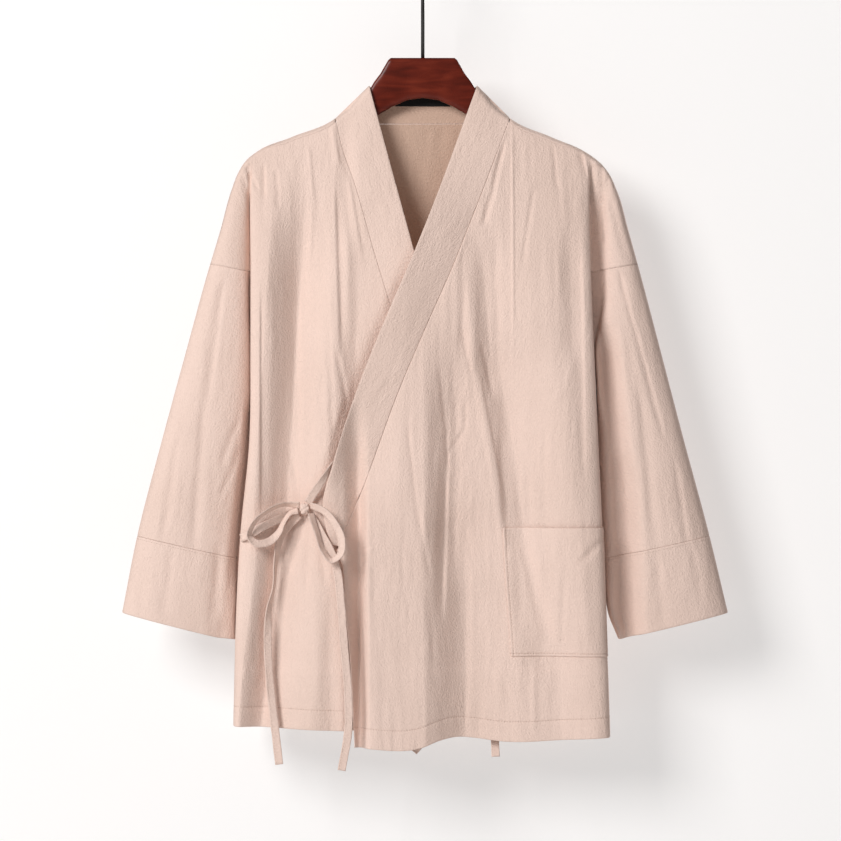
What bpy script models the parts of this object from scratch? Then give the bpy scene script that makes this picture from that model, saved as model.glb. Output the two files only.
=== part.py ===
"""Kimono jacket on a hanger.

A thigh-length wrap jacket of crinkled cotton, tied at the wearer's right side, hung on a wooden
hanger with a wire hook. Metres, +Z up, the garment's front towards -Y. The origin is the inner top
of the hook, where a rail carries it. Inside the tables lengths are millimetres, and a drop is the
distance below the origin. Right and left are the wearer's: right lies towards -X.
"""

import math
from collections import namedtuple

import bmesh
import bpy
import numpy as np
from mathutils import Vector

MM = 0.001

CLOTH_WALL = 1.2
DOUBLE_WALL = 1.8
SEAM_GAP = 0.3
CURVE_SLACK = 0.15
SIDE_RIM_LEAN = 0.3
TIP_RIM_LEAN = 0.9
CORNER_GAP = 2.4
CORNER_REACH = (0.93, 1.0)
LAP_GAP = 2.2
LAP_HOLLOW = 6.0
LAP_HOLLOW_START = -14.0
LAP_HOLLOW_END = 10.0
LAP_TOP = (350.0, 400.0)
LAP_START = (260.0, 320.0)
LAP_SIDE_FADE = (0.8, 1.0)
SEAM_FORWARD = 6.0
RIDGE_DEPTH = 10.0
RIDGE_ROUND = 6.0
SHOULDER_FALL = 45.0
HANGS_FREE = (255.0, 350.0)
FOLD_STARTS = (-0.3, 0.25)
FOLD_STOPS = (0.8, 1.2)
FOLD_SIDE_FADE = (0.86, 1.0)
FIRST_TOP_DROP = 200.0
FIRST_HEM_DROP = 905.0
LEAST = 1e-6
SLOPE_STEP = 0.05
BODY_SQUARENESS = 2.8
SLEEVE_SQUARENESS = 2.3
NECK_HALF_WIDTH = 101.0
BACK_NECK_DROP = 199.5
NECK_ROUNDNESS = 0.3
COLLAR_TAPER = (60.0, 20.0)
COLLAR_SLANT = 12.0
COLLAR_SLANT_FADE = 20.0
COLLAR_WIDTH_CELLS = 4
COLLAR_ROW_BIAS = 1.15
RIDGE_STEPS = (0.0, 1.2, 4.0)
FLAP_SHARES = (1.0, 0.6, 0.25)
TIP_HALF_WIDTH = 207.0
ARMHOLE_DROP = 372.0
ARMHOLE_OUTER_DROP = 363.0
UNDERARM_DROP = 505.0
UNDERARM_CLOSING = 34.0
ARMHOLE_HALF_OPEN = 12.0
UPPER_ROW_BIAS = 1.3
VENT_DROP = 824.0
VENT_HALF_GAP = 1.6
VENT_START = 12.0
STRAP_WIDTH = 10.0
STRAP_WALL = 1.6
STRAP_SPACING = 11.0
LOOP_SPACING = 8.0

WIRE_RADIUS = 2.1
HOOK_RADIUS = 20.0
HOOK_SIDE_TURN = 60.0
HOOK_OVER_TURN = 240.0
BLOCK_TOP_DROP = 125.0
WOOD_HALF_THICKNESS = 5.5
ARM_CLEARANCE = 0.5

UPPER_ROWS = 6
MIDDLE_ROWS = 8
POCKET_ROWS = 4
LOWER_ROWS = 3
RIGHT_COLUMNS = 20
LEFT_COLUMNS = (16, 8)
NECK_COLUMNS = 6
SHOULDER_COLUMNS = 8
HUMP_COLUMNS = 5
RING_CELLS = 10
COLLAR_ROWS = 22
COLLAR_BACK_CELLS = 9
SETTLING_ROUNDS = 14

Outline = namedtuple("Outline", "drop right left")
OUTLINE = (
    Outline(155.5, 62.0, 63.0),
    Outline(193.4, 101.0, 101.0),
    Outline(215.3, 151.8, 148.9),
    Outline(233.7, 194.0, 190.0),
    Outline(243.0, 205.0, 203.0),
    Outline(254.4, 212.5, 213.5),
    Outline(277.4, 221.7, 225.0),
    Outline(323.4, 234.4, 238.3),
    Outline(369.4, 248.2, 250.9),
    Outline(461.4, 273.5, 275.1),
    Outline(564.9, 301.6, 302.1),
    Outline(676.5, 330.5, 332.0),
    Outline(767.9, 348.5, 353.9),
)

Body = namedtuple("Body", "drop right left front back")
BODY = (
    Body(150.0, 196.0, 194.0, 18.0, 14.0),
    Body(243.0, 196.4, 194.6, 22.0, 18.0),
    Body(277.4, 198.7, 193.4, 27.0, 21.0),
    Body(371.7, 198.7, 195.2, 36.0, 28.0),
    Body(461.4, 198.7, 198.6, 42.0, 33.0),
    Body(564.9, 199.9, 203.2, 44.0, 35.0),
    Body(674.1, 210.2, 207.8, 44.0, 36.0),
    Body(771.9, 215.4, 211.8, 46.0, 38.0),
    Body(840.9, 217.1, 214.7, 48.0, 40.0),
    Body(920.0, 218.3, 217.0, 50.0, 42.0),
)

Sleeve = namedtuple("Sleeve", "drop right left depth")
SLEEVE = (
    Sleeve(262.0, 201.0, 209.0, 14.0),
    Sleeve(371.7, 201.0, 209.5, 18.0),
    Sleeve(461.4, 201.0, 210.5, 21.0),
    Sleeve(564.9, 202.5, 211.0, 23.0),
    Sleeve(674.1, 212.5, 212.0, 24.0),
    Sleeve(720.0, 216.5, 214.0, 24.0),
    Sleeve(772.0, 218.5, 217.0, 24.0),
    Sleeve(800.0, 227.5, 228.0, 24.0),
)

Level = namedtuple("Level", "outer inner")
SLEEVE_LEVELS = (
    Level(363.3, 372.3),
    Level(400.0, 412.0),
    Level(440.0, 460.0),
    Level(480.0, 505.0),
    Level(530.0, 556.0),
    Level(580.0, 607.0),
    Level(630.0, 657.0),
    Level(677.0, 703.0),
)
CUFF_LEVELS = (
    Level(677.4, 703.4),
    Level(708.0, 736.0),
    Level(737.0, 768.0),
    Level(766.0, 797.0),
)

Edge = namedtuple("Edge", "drop x")
OVER_EDGE = (
    Edge(156.2, 63.0),
    Edge(349.8, -9.5),
    Edge(425.7, -42.3),
    Edge(499.9, -72.2),
    Edge(568.0, -95.2),
    Edge(594.8, -103.3),
    Edge(641.5, -115.2),
    Edge(668.4, -111.3),
    Edge(708.6, -92.9),
    Edge(748.9, -89.5),
    Edge(806.4, -83.7),
    Edge(919.1, -78.0),
)
OVER_SEAM = (
    Edge(193.4, 101.0),
    Edge(323.4, 51.5),
    Edge(365.9, 34.5),
    Edge(418.8, 11.2),
    Edge(518.9, -31.4),
    Edge(606.3, -63.4),
    Edge(671.8, -89.5),
    Edge(690.0, -96.0),
)
UNDER_EDGE = (
    Edge(156.2, -61.9),
    Edge(349.8, -9.4),
    Edge(438.4, 15.2),
    Edge(518.9, 37.0),
    Edge(622.4, 62.0),
    Edge(694.0, 67.0),
    Edge(912.0, 76.0),
)
UNDER_SEAM = (
    Edge(193.4, -101.0),
    Edge(221.0, -95.2),
    Edge(278.5, -76.1),
    Edge(345.2, -57.3),
    Edge(461.4, -21.6),
    Edge(541.9, 1.4),
    Edge(610.9, 24.0),
    Edge(660.0, 47.0),
    Edge(690.0, 62.0),
)
OVER_HEM = (
    Edge(919.1, -78.0),
    Edge(918.5, -1.0),
    Edge(911.0, 19.2),
    Edge(907.6, 37.0),
    Edge(908.7, 58.9),
    Edge(912.2, 87.6),
    Edge(909.9, 169.3),
    Edge(907.6, 216.4),
)
UNDER_HEM = (
    Edge(894.9, -218.3),
    Edge(899.5, -92.9),
    Edge(903.0, 76.0),
)
BACK_HEM = (
    Edge(896.0, -218.3),
    Edge(900.0, 0.0),
    Edge(905.0, 217.0),
)

Fold = namedtuple("Fold", "top_x top_drop foot_x foot_drop half_width top_height foot_height")
FRONT_FOLDS = (
    Fold(-164.0, 320.0, -160.0, 600.0, 24.0, -4.0, -8.0),
    Fold(-124.0, 330.0, -122.0, 600.0, 22.0, 3.0, 7.0),
    Fold(-82.0, 270.0, -72.0, 510.0, 17.0, -6.0, -9.0),
    Fold(-187.0, 690.0, -190.0, 930.0, 17.0, -8.0, -12.0),
    Fold(-141.0, 700.0, -136.0, 930.0, 26.0, 5.0, 9.0),
    Fold(-106.0, 740.0, -100.0, 930.0, 15.0, -3.0, -5.0),
    Fold(62.0, 430.0, 20.0, 610.0, 26.0, -4.0, -7.0),
    Fold(20.0, 610.0, 27.0, 930.0, 27.0, -9.0, -15.0),
    Fold(64.0, 690.0, 66.0, 930.0, 20.0, 5.0, 10.0),
    Fold(94.0, 740.0, 93.0, 930.0, 15.0, -3.0, -6.0),
    Fold(150.0, 330.0, 158.0, 640.0, 30.0, -3.0, -5.0),
)
OVER_FOLDS = (
    Fold(-58.0, 690.0, -48.0, 930.0, 26.0, 8.0, 10.0),
)
BACK_FOLDS = (
    Fold(-120.0, 330.0, -132.0, 930.0, 34.0, -3.0, -9.0),
    Fold(-40.0, 420.0, -44.0, 930.0, 36.0, 2.0, 8.0),
    Fold(38.0, 380.0, 46.0, 930.0, 34.0, -3.0, -9.0),
    Fold(112.0, 300.0, 128.0, 930.0, 34.0, 2.0, 8.0),
)

Neck = namedtuple("Neck", "around top_drop top_depth")
BACK_COLLAR = (
    Neck(0.0, 155.5, 0.0),
    Neck(0.12, 155.8, 8.5),
    Neck(0.3, 156.4, 15.0),
    Neck(0.6, 157.4, 18.5),
    Neck(1.0, 158.0, 20.0),
)

POCKET_TOP_DROP = 667.0
POCKET_FOOT_DROP = 815.0
Lines = namedtuple("Lines", "drop inner outer")
POCKET_LINES = (
    Lines(195.0, 128.0, 192.4),
    Lines(372.0, 112.0, 193.6),
    Lines(520.0, 96.0, 199.6),
    Lines(667.0, 92.2, 206.6),
    Lines(815.0, 101.4, 211.8),
    Lines(912.0, 106.0, 214.6),
)

Stop = namedtuple("Stop", "x drop out twist")
SIDE_TIE = (
    Stop(-208.4, 678.0, 3.6, 25.0),
    Stop(-196.4, 673.0, 4.6, 10.0),
    Stop(-184.9, 666.1, 4.2, 10.0),
    Stop(-170.0, 659.2, 3.6, 10.0),
    Stop(-152.7, 651.5, 3.6, 5.0),
    Stop(-141.7, 646.8, 4.6, 0.0),
)
FRONT_TIE = (
    Stop(-101.0, 592.0, 1.4, 0.0),
    Stop(-105.0, 599.5, 2.0, 0.0),
    Stop(-110.0, 608.5, 4.6, 8.0),
    Stop(-117.0, 618.0, 6.3, 12.0),
    Stop(-125.0, 628.5, 6.6, 8.0),
    Stop(-131.6, 638.4, 6.8, 0.0),
)
RIGHT_LOOP = (
    Stop(-141.0, 641.2, 9.4, 35.0),
    Stop(-160.0, 640.0, 12.5, 60.0),
    Stop(-180.3, 649.0, 13.5, 65.0),
    Stop(-195.3, 664.5, 13.0, 60.0),
    Stop(-198.5, 676.4, 11.5, 50.0),
    Stop(-189.5, 684.5, 10.0, 25.0),
    Stop(-175.7, 682.2, 11.8, 15.0),
    Stop(-165.0, 671.8, 14.0, 40.0),
    Stop(-159.0, 659.2, 15.0, 60.0),
    Stop(-151.0, 649.5, 13.5, 60.0),
    Stop(-143.0, 647.2, 10.5, 40.0),
)
LEFT_LOOP = (
    Stop(-128.8, 641.0, 9.0, -40.0),
    Stop(-113.6, 647.0, 13.0, -35.0),
    Stop(-99.8, 662.6, 16.0, -30.0),
    Stop(-92.3, 681.0, 17.5, -25.0),
    Stop(-95.0, 697.5, 17.5, -40.0),
    Stop(-104.4, 703.5, 16.5, -55.0),
    Stop(-112.5, 694.8, 15.0, -60.0),
    Stop(-121.5, 670.7, 13.0, -55.0),
    Stop(-128.2, 650.5, 9.5, -45.0),
)
RIGHT_TAIL = (
    Stop(-142.0, 652.0, 6.4, 0.0),
    Stop(-152.0, 662.0, 6.0, 8.0),
    Stop(-163.1, 677.0, 6.2, 22.0),
    Stop(-168.5, 702.9, 8.6, 60.0),
    Stop(-171.1, 735.1, 8.0, 75.0),
    Stop(-176.5, 759.2, 9.0, 55.0),
    Stop(-178.0, 783.4, 10.0, 25.0),
    Stop(-175.1, 847.8, 12.0, 20.0),
    Stop(-170.5, 886.9, 12.0, 10.0),
    Stop(-164.2, 936.9, 11.0, 0.0),
)
LEFT_TAIL = (
    Stop(-128.6, 652.0, 4.0, 0.0),
    Stop(-115.9, 674.1, 5.5, 0.0),
    Stop(-104.5, 695.0, 7.0, 0.0),
    Stop(-98.5, 714.0, 8.0, 0.0),
    Stop(-93.5, 755.0, 9.0, 0.0),
    Stop(-90.0, 799.5, 10.0, 5.0),
    Stop(-85.5, 852.4, 11.0, 5.0),
    Stop(-85.0, 896.1, 11.0, 5.0),
    Stop(-92.7, 943.2, 10.0, 0.0),
)
INNER_TIE_LEFT = (
    Stop(60.5, 632.0, -11.3, 0.0),
    Stop(66.0, 660.0, -11.7, 0.0),
    Stop(74.0, 720.0, -13.0, 0.0),
    Stop(78.0, 780.0, -14.0, 0.0),
    Stop(81.0, 850.0, -14.0, 0.0),
    Stop(84.0, 931.0, -13.0, 0.0),
)
INNER_TIE_RIGHT = (
    Stop(44.0, 634.0, -12.7, 0.0),
    Stop(38.0, 660.0, -13.8, 0.0),
    Stop(24.0, 725.0, -16.0, 0.0),
    Stop(-4.0, 800.0, -16.0, 0.0),
    Stop(-27.0, 870.0, -16.0, 0.0),
    Stop(-25.0, 904.0, -15.0, 0.0),
    Stop(-4.0, 923.5, -13.0, 0.0),
)
KNOT = Stop(-135.5, 645.0, 7.0, 0.0)
KNOT_SIZE = (9.8, 8.3, 11.5)
KNOT_BALL = 1.25
KNOT_ROUNDNESS = 0.6

Wood = namedtuple("Wood", "x top foot")
WOOD_BLOCK = (
    Wood(0.0, 125.0, 171.6),
    Wood(18.0, 125.0, 174.0),
    Wood(37.0, 125.0, 182.5),
    Wood(40.0, 127.5, 184.6),
    Wood(49.0, 143.0, 189.6),
    Wood(56.0, 151.5, 193.5),
)
Arm = namedtuple("Arm", "x wall foot")
WOOD_ARM = (
    Arm(62.5, 5.4, 197.5),
    Arm(80.0, 6.8, 210.0),
    Arm(101.0, 6.0, 224.0),
    Arm(120.0, 2.2, 234.0),
    Arm(150.0, 2.2, 247.0),
    Arm(176.0, 2.2, 256.0),
    Arm(191.0, 4.0, 259.0),
)

Corner = namedtuple("Corner", "across down")
WOOD_SECTION = (
    Corner(-1.0, -0.75),
    Corner(-0.55, -1.0),
    Corner(0.55, -1.0),
    Corner(1.0, -0.75),
    Corner(1.0, 0.75),
    Corner(0.55, 1.0),
    Corner(-0.55, 1.0),
    Corner(-1.0, 0.75),
)

LABEL_HALF_WIDTH = 32.0
LABEL_TOP_DROP = 165.0
LABEL_FOOT_DROP = 181.5
LABEL_WALL = 1.0
LABEL_SLACK = 0.2


def clear_scene():
    for obj in list(bpy.data.objects):
        bpy.data.objects.remove(obj, do_unlink=True)


def column(table, name):
    return np.array([getattr(row, name) for row in table])


def smooth(knots, values, at):
    """A smooth curve through (knots, values), read at any array of places."""
    slopes = np.gradient(values, knots)
    at = np.clip(at, knots[0], knots[-1])
    i = np.clip(np.searchsorted(knots, at, side="right") - 1, 0, len(knots) - 2)
    span = knots[i + 1] - knots[i]
    s = (at - knots[i]) / span
    start = values[i] * (1 + 2 * s) * (1 - s) ** 2 + slopes[i] * span * s * (1 - s) ** 2
    end = values[i + 1] * s**2 * (3 - 2 * s) + slopes[i + 1] * span * s**2 * (s - 1)
    return start + end


def read(table, name, drop):
    return smooth(column(table, "drop"), column(table, name), drop)


def step(low, high, at):
    s = np.clip((at - low) / (high - low), 0.0, 1.0)
    return s * s * (3 - 2 * s)


def side_name(side):
    return "left" if side > 0 else "right"


def outline_x(side, drop):
    return read(OUTLINE, side_name(side), drop)


def outline_drop(x):
    """Drop of the shoulder's silhouette above a place at this x."""
    half = np.abs(x)
    right = smooth(column(OUTLINE, "right"), column(OUTLINE, "drop"), half)
    left = smooth(column(OUTLINE, "left"), column(OUTLINE, "drop"), half)
    return np.where(np.asarray(x) > 0, left, right)


def body_edge(side, drop):
    return read(BODY, side_name(side), drop)


def shoulder_depth(x, drop, full):
    """Depth of cloth that falls from the shoulder's ridge, before it meets the body's depth."""
    side = np.where(np.asarray(x) > 0, 1, -1)
    beside = np.where(side > 0, outline_x(1, drop), outline_x(-1, drop)) - np.abs(x)
    below = drop - outline_drop(x)
    beside = np.maximum(beside, LEAST)
    below = np.maximum(below, LEAST)
    inside = beside * below / np.hypot(beside, below)
    ridge = RIDGE_DEPTH * np.sqrt(1 - np.clip(1 - inside / RIDGE_ROUND, 0, 1) ** 2)
    fall = 1 - np.exp(-np.maximum(inside - SEAM_FORWARD, 0) / SHOULDER_FALL)
    return ridge + (full - RIDGE_DEPTH) * fall


def armhole_floor(drop):
    return ARMHOLE_HALF_OPEN * (1 - step(UNDERARM_DROP - UNDERARM_CLOSING, UNDERARM_DROP, drop))


def across(x, drop):
    """Place across the body: 0 at its middle, 1 at its side edges."""
    left, right = body_edge(1, drop), body_edge(-1, drop)
    return np.clip(np.abs(x - (left - right) / 2) / ((left + right) / 2), 0, 1)


def body_depth(x, drop, full):
    """Depth of one face of the body, from the fall off the shoulder to the round side edges."""
    xi = across(x, drop)
    side = (1 - xi**BODY_SQUARENESS) ** (1 / BODY_SQUARENESS)
    floor = armhole_floor(drop)
    tube = floor + (full - floor) * side
    hung = step(*HANGS_FREE, drop)
    return (1 - hung) * shoulder_depth(x, drop, full) + hung * tube


def fold_height(x, drop, folds):
    """Sum of soft folds, each a ridge or trough along a slanted line that fades at its ends."""
    total = np.zeros(np.broadcast(x, drop).shape)
    for fold in folds:
        along = (drop - fold.top_drop) / (fold.foot_drop - fold.top_drop)
        middle = fold.top_x + (fold.foot_x - fold.top_x) * along
        height = fold.top_height + (fold.foot_height - fold.top_height) * np.clip(along, 0, 1)
        ends = step(*FOLD_STARTS, along) * (1 - step(*FOLD_STOPS, along))
        away = np.clip(np.abs(x - middle) / fold.half_width, 0, 1)
        total = total + height * ends * 0.5 * (1 + np.cos(math.pi * away))
    return total * (1 - step(*FOLD_SIDE_FADE, across(x, drop)))


def front_depth(x, drop, layer=0):
    """Depth of the front's outer face. The layer is 1 on the lapped-over front, -1 under it."""
    x, drop = np.asarray(x, float), np.asarray(drop, float)
    depth = body_depth(x, drop, read(BODY, "front", drop)) + fold_height(x, drop, FRONT_FOLDS)
    if layer > 0:
        depth = depth + fold_height(x, drop, OVER_FOLDS)
    if layer < 0:
        at_side = step(*LAP_SIDE_FADE, across(x, drop))
        depth = depth - LAP_GAP * step(*LAP_START, drop) * (1 - at_side)
        edge = smooth(column(OVER_EDGE, "drop"), column(OVER_EDGE, "x"), drop)
        covered = step(edge + LAP_HOLLOW_START, edge + LAP_HOLLOW_END, x)
        depth = depth - LAP_HOLLOW * covered * step(*LAP_TOP, drop)
    return depth


def back_depth(x, drop):
    x, drop = np.asarray(x, float), np.asarray(drop, float)
    return body_depth(x, drop, read(BODY, "back", drop)) + fold_height(x, drop, BACK_FOLDS)


def sleeve_depth(side, x, drop, full):
    """Depth of one face of the sleeve and dropped shoulder, at a distance x from the middle."""
    outer, inner = outline_x(side, drop), read(SLEEVE, side_name(side), drop)
    half = (outer - inner) / 2
    thick = read(SLEEVE, "depth", drop)
    power = SLEEVE_SQUARENESS
    floor = armhole_floor(drop)
    out = np.clip(1 - (outer - x) / half, 0, 1)
    inward = np.clip(1 - (x - inner) / half, 0, 1)
    outer_face = thick * (1 - out**power) ** (1 / power)
    inner_face = floor + (thick - floor) * (1 - inward**power) ** (1 / power)
    tube = np.where(x > (outer + inner) / 2, outer_face, inner_face)
    hung = step(*HANGS_FREE, drop)
    return (1 - hung) * shoulder_depth(side * x, drop, full) + hung * tube


def spaced(count):
    return np.linspace(0.0, 1.0, count + 1)


def bunched(count):
    """Places from 0 to 1 that lie closer together at both ends."""
    return (1 - np.cos(math.pi * spaced(count))) / 2


def rows_of(upper, middle, pocket, lower):
    """Row places: whole numbers at the shoulder, armhole, pocket's top, pocket's foot and hem."""
    stretches = (spaced(upper) ** UPPER_ROW_BIAS, spaced(middle), spaced(pocket), spaced(lower))
    return np.concatenate([[0.0]] + [i + stretch[1:] for i, stretch in enumerate(stretches)])


def row_drop(row, top, hem):
    levels = (top, ARMHOLE_DROP, POCKET_TOP_DROP, POCKET_FOOT_DROP, hem)
    drop = top + 0 * row
    for i in range(len(levels) - 1):
        drop = drop + (levels[i + 1] - levels[i]) * np.clip(row - i, 0, 1)
    return drop


def vent_gap(drop):
    """Half the gap between front and back at the side, wider where the side is slit."""
    slit = step(VENT_DROP, VENT_DROP + VENT_START, drop)
    return SEAM_GAP / 2 + SIDE_RIM_LEAN + VENT_HALF_GAP * slit


def plain_columns(side, inner, drop, count):
    """Places across the right front, closer together where it turns to the side."""
    reach = np.sin(math.pi / 2 * spaced(count))[None, :]
    return inner + (side * body_edge(side, drop) - inner) * reach


def pocket_columns(side, inner, drop, counts):
    """Places across the left front, with one on each long side of the pocket."""
    before, over = counts
    near = read(POCKET_LINES, "inner", drop)
    far = read(POCKET_LINES, "outer", drop)
    first = np.concatenate([spaced(before), np.ones(over + 1)])[None, :]
    second = np.concatenate([np.zeros(before), np.sin(math.pi / 2 * spaced(over)), [1.0]])[None, :]
    last = np.concatenate([np.zeros(before + over + 1), [1.0]])[None, :]
    x = inner + (near - inner) * first + (far - near) * second
    return x + (side * body_edge(side, drop) - far) * last


def front_grid(side, seam, edge, hem, layer, rows, counts, hump_columns):
    """Points of a front, a row for each level, from its collar or front edge out to its side."""
    row = rows[:, None]
    placed = pocket_columns if layer > 0 else plain_columns
    columns = sum(counts) + 1 if layer > 0 else counts
    last_seam = seam[-1].drop
    drop = row_drop(row, FIRST_TOP_DROP, FIRST_HEM_DROP) + np.zeros((1, columns + 1))
    for _ in range(SETTLING_ROUNDS):
        seam_x = smooth(column(seam, "drop"), column(seam, "x"), drop)
        edge_x = smooth(column(edge, "drop"), column(edge, "x"), drop)
        inner = np.where(drop < last_seam, seam_x + side * (SEAM_GAP / 2 + CURVE_SLACK), edge_x)
        x = placed(side, inner, drop, counts)
        corner = CORNER_GAP * step(*CORNER_REACH, across(x, drop))
        top = outline_drop(x) + SEAM_FORWARD + SEAM_GAP / 2 + corner
        foot = smooth(column(hem, "x"), column(hem, "drop"), x)
        drop = 0.5 * drop + 0.5 * row_drop(row, top, foot)
    depth = front_depth(x, drop, layer)
    y = -depth - vent_gap(drop)
    body = np.stack([x, y, -drop], axis=2)
    return join_dropped_shoulder(side, body, rows, hump_columns, -1)


def join_dropped_shoulder(side, body, rows, count, facing):
    """Adds the columns that run out from the body's edge over the dropped shoulder."""
    row = np.minimum(rows, 1)[:, None]
    place = bunched(count)[None, 1:] * row + spaced(count)[None, 1:] * (1 - row)
    start_x = np.abs(body[:, -1, 0])[:, None]
    start_drop = -body[:, -1, 2][:, None]
    tip_drop = outline_drop(side * TIP_HALF_WIDTH)
    end_drop = tip_drop + (ARMHOLE_OUTER_DROP - tip_drop) * row
    end_x = outline_x(side, end_drop)
    x = start_x + (end_x - start_x) * place
    drop = start_drop + (end_drop - start_drop) * place
    drop[0] = outline_drop(side * x[0])
    full = read(BODY, "front" if facing < 0 else "back", drop)
    depth = sleeve_depth(side, x, drop, full)
    depth[0] = 0
    depth[:, -1] = 0
    y = facing * (depth + SEAM_GAP / 2 + TIP_RIM_LEAN * (2 - place))
    hump = np.stack([side * x, y, -drop], axis=2)
    return np.concatenate([body, hump], axis=1)


def neck_drop(x):
    """Drop of the collar's seam behind the neck, from one neck point to the other."""
    around = np.sqrt(np.clip(1 - (x / NECK_HALF_WIDTH) ** 2, 0, 1))
    top = OUTLINE[1].drop
    return top + (BACK_NECK_DROP - top) * around**NECK_ROUNDNESS


def back_columns(drop, neck_columns, shoulder_columns):
    """Places across the back, with one just outside each end of the neck's curve."""
    neck = NECK_HALF_WIDTH + SEAM_GAP
    middle = neck * np.linspace(-1, 1, 2 * neck_columns + 1)[None, :] + 0 * drop[:, :1]
    outward = np.sin(math.pi / 2 * spaced(shoulder_columns))[None, 1:]
    count = shoulder_columns
    left = neck + (body_edge(1, drop[:, -count:]) - neck) * outward
    right = -neck - (body_edge(-1, drop[:, count - 1 :: -1]) - neck) * outward
    return np.concatenate([right[:, ::-1], middle, left], axis=1)


def back_grid(rows, neck_columns, shoulder_columns, hump_columns):
    """Points of the back, from the right dropped shoulder across to the left one."""
    row = rows[:, None]
    columns = neck_columns + shoulder_columns
    drop = row_drop(row, FIRST_TOP_DROP, FIRST_HEM_DROP) + np.zeros((1, 2 * columns + 1))
    for _ in range(SETTLING_ROUNDS):
        x = back_columns(drop, neck_columns, shoulder_columns)
        on_shoulder = np.abs(x) > NECK_HALF_WIDTH
        top = np.where(on_shoulder, outline_drop(x) + SEAM_FORWARD, neck_drop(x) + SEAM_GAP)
        foot = smooth(column(BACK_HEM, "x"), column(BACK_HEM, "drop"), x)
        drop = 0.5 * drop + 0.5 * row_drop(row, top, foot)
    y = back_depth(x, drop) + vent_gap(drop)
    body = np.stack([x, y, -drop], axis=2)
    left_side = join_dropped_shoulder(1, body[:, columns:], rows, hump_columns, 1)
    right_half = body[:, columns::-1]
    right_side = join_dropped_shoulder(-1, right_half, rows, hump_columns, 1)
    return np.concatenate([right_side[:, ::-1], left_side[:, 1:]], axis=1)


def over_ridge(grid, hump_columns):
    """Rows that carry the back over the shoulder's ridge to its seam on the front."""
    first = grid[0]
    x, drop = first[:, 0], -first[:, 2]
    ridge = outline_drop(x)
    forward = SEAM_FORWARD - SEAM_GAP / 2
    rows = []
    for share in FLAP_SHARES:
        level = ridge + forward * share
        depth = shoulder_depth(x, level, read(BODY, "front", level))
        rows.append(np.stack([x, -depth, -level], axis=1))
    rows.append(np.stack([x, 0 * x, -ridge], axis=1))
    level = ridge + forward * FLAP_SHARES[-1]
    depth = shoulder_depth(x, level, read(BODY, "back", level))
    rows.append(np.stack([x, depth, -level], axis=1))
    for flap in rows:
        flap[:hump_columns] = first[:hump_columns]
        flap[-hump_columns:] = first[-hump_columns:]
    return np.concatenate([np.array(rows), grid], axis=0)


def ring(side, levels, count):
    """Rings of a sleeve or cuff, each from its inner edge over the front and round the back."""
    outer_drop, inner_drop = column(levels, "outer")[:, None], column(levels, "inner")[:, None]
    closed = inner_drop >= UNDERARM_DROP
    at_body = body_edge(side, inner_drop) + SEAM_GAP
    inner_x = np.where(closed, read(SLEEVE, side_name(side), inner_drop), at_body)
    outer_x = outline_x(side, outer_drop)
    place = bunched(count)[None, :]
    x = inner_x + (outer_x - inner_x) * place
    drop = inner_drop + (outer_drop - inner_drop) * place
    depth = sleeve_depth(side, x, drop, read(BODY, "front", drop))
    depth[:, -1] = 0
    depth = np.where(closed & (place == 0), 0, depth)
    front = np.stack([side * x, -depth, -drop], axis=2)
    back = np.stack([side * x, depth, -drop], axis=2)
    return np.concatenate([front, back[:, -2::-1]], axis=1)


def collar_grid(front_count, back_count):
    """Points of the collar band: up one front edge, round the back of the neck, down the other."""
    right = collar_run(UNDER_EDGE, UNDER_SEAM, -1, front_count)
    left = collar_run(OVER_EDGE, OVER_SEAM, 1, front_count)
    back = collar_back(back_count)
    return np.concatenate([right[::-1], back[1:-1], left], axis=0)


def collar_run(edge, seam, layer, count):
    """One front stretch, from the ridge beside the neck down to where seam and edge meet."""
    edge_top, seam_top = OUTLINE[0].drop, OUTLINE[1].drop
    seam_end = seam[-1].drop - 2
    place = spaced(count)[1:] ** COLLAR_ROW_BIAS
    below = np.concatenate([RIDGE_STEPS, (seam_end - seam_top) * place])
    seam_drop = seam_top + below[:, None]
    fade = np.exp(-(seam_drop - seam_top) / COLLAR_SLANT_FADE)
    slant = COLLAR_SLANT + (seam_top - edge_top - COLLAR_SLANT) * fade
    taper = step(seam_end - COLLAR_TAPER[0], seam_end + COLLAR_TAPER[1], seam_drop)
    slant = slant * (1 - taper)
    edge_drop = seam_drop - slant
    side = 1 if layer > 0 else -1
    seam_x = smooth(column(seam, "drop"), column(seam, "x"), seam_drop) - side * SEAM_GAP / 2
    edge_x = smooth(column(edge, "drop"), column(edge, "x"), edge_drop)
    width = spaced(COLLAR_WIDTH_CELLS)[None, :]
    x = edge_x + (seam_x - edge_x) * width
    drop = edge_drop + (seam_drop - edge_drop) * width
    depth = front_depth(x, drop, layer)
    depth[0] = 0
    return np.stack([x, -depth, -drop], axis=2)


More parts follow.
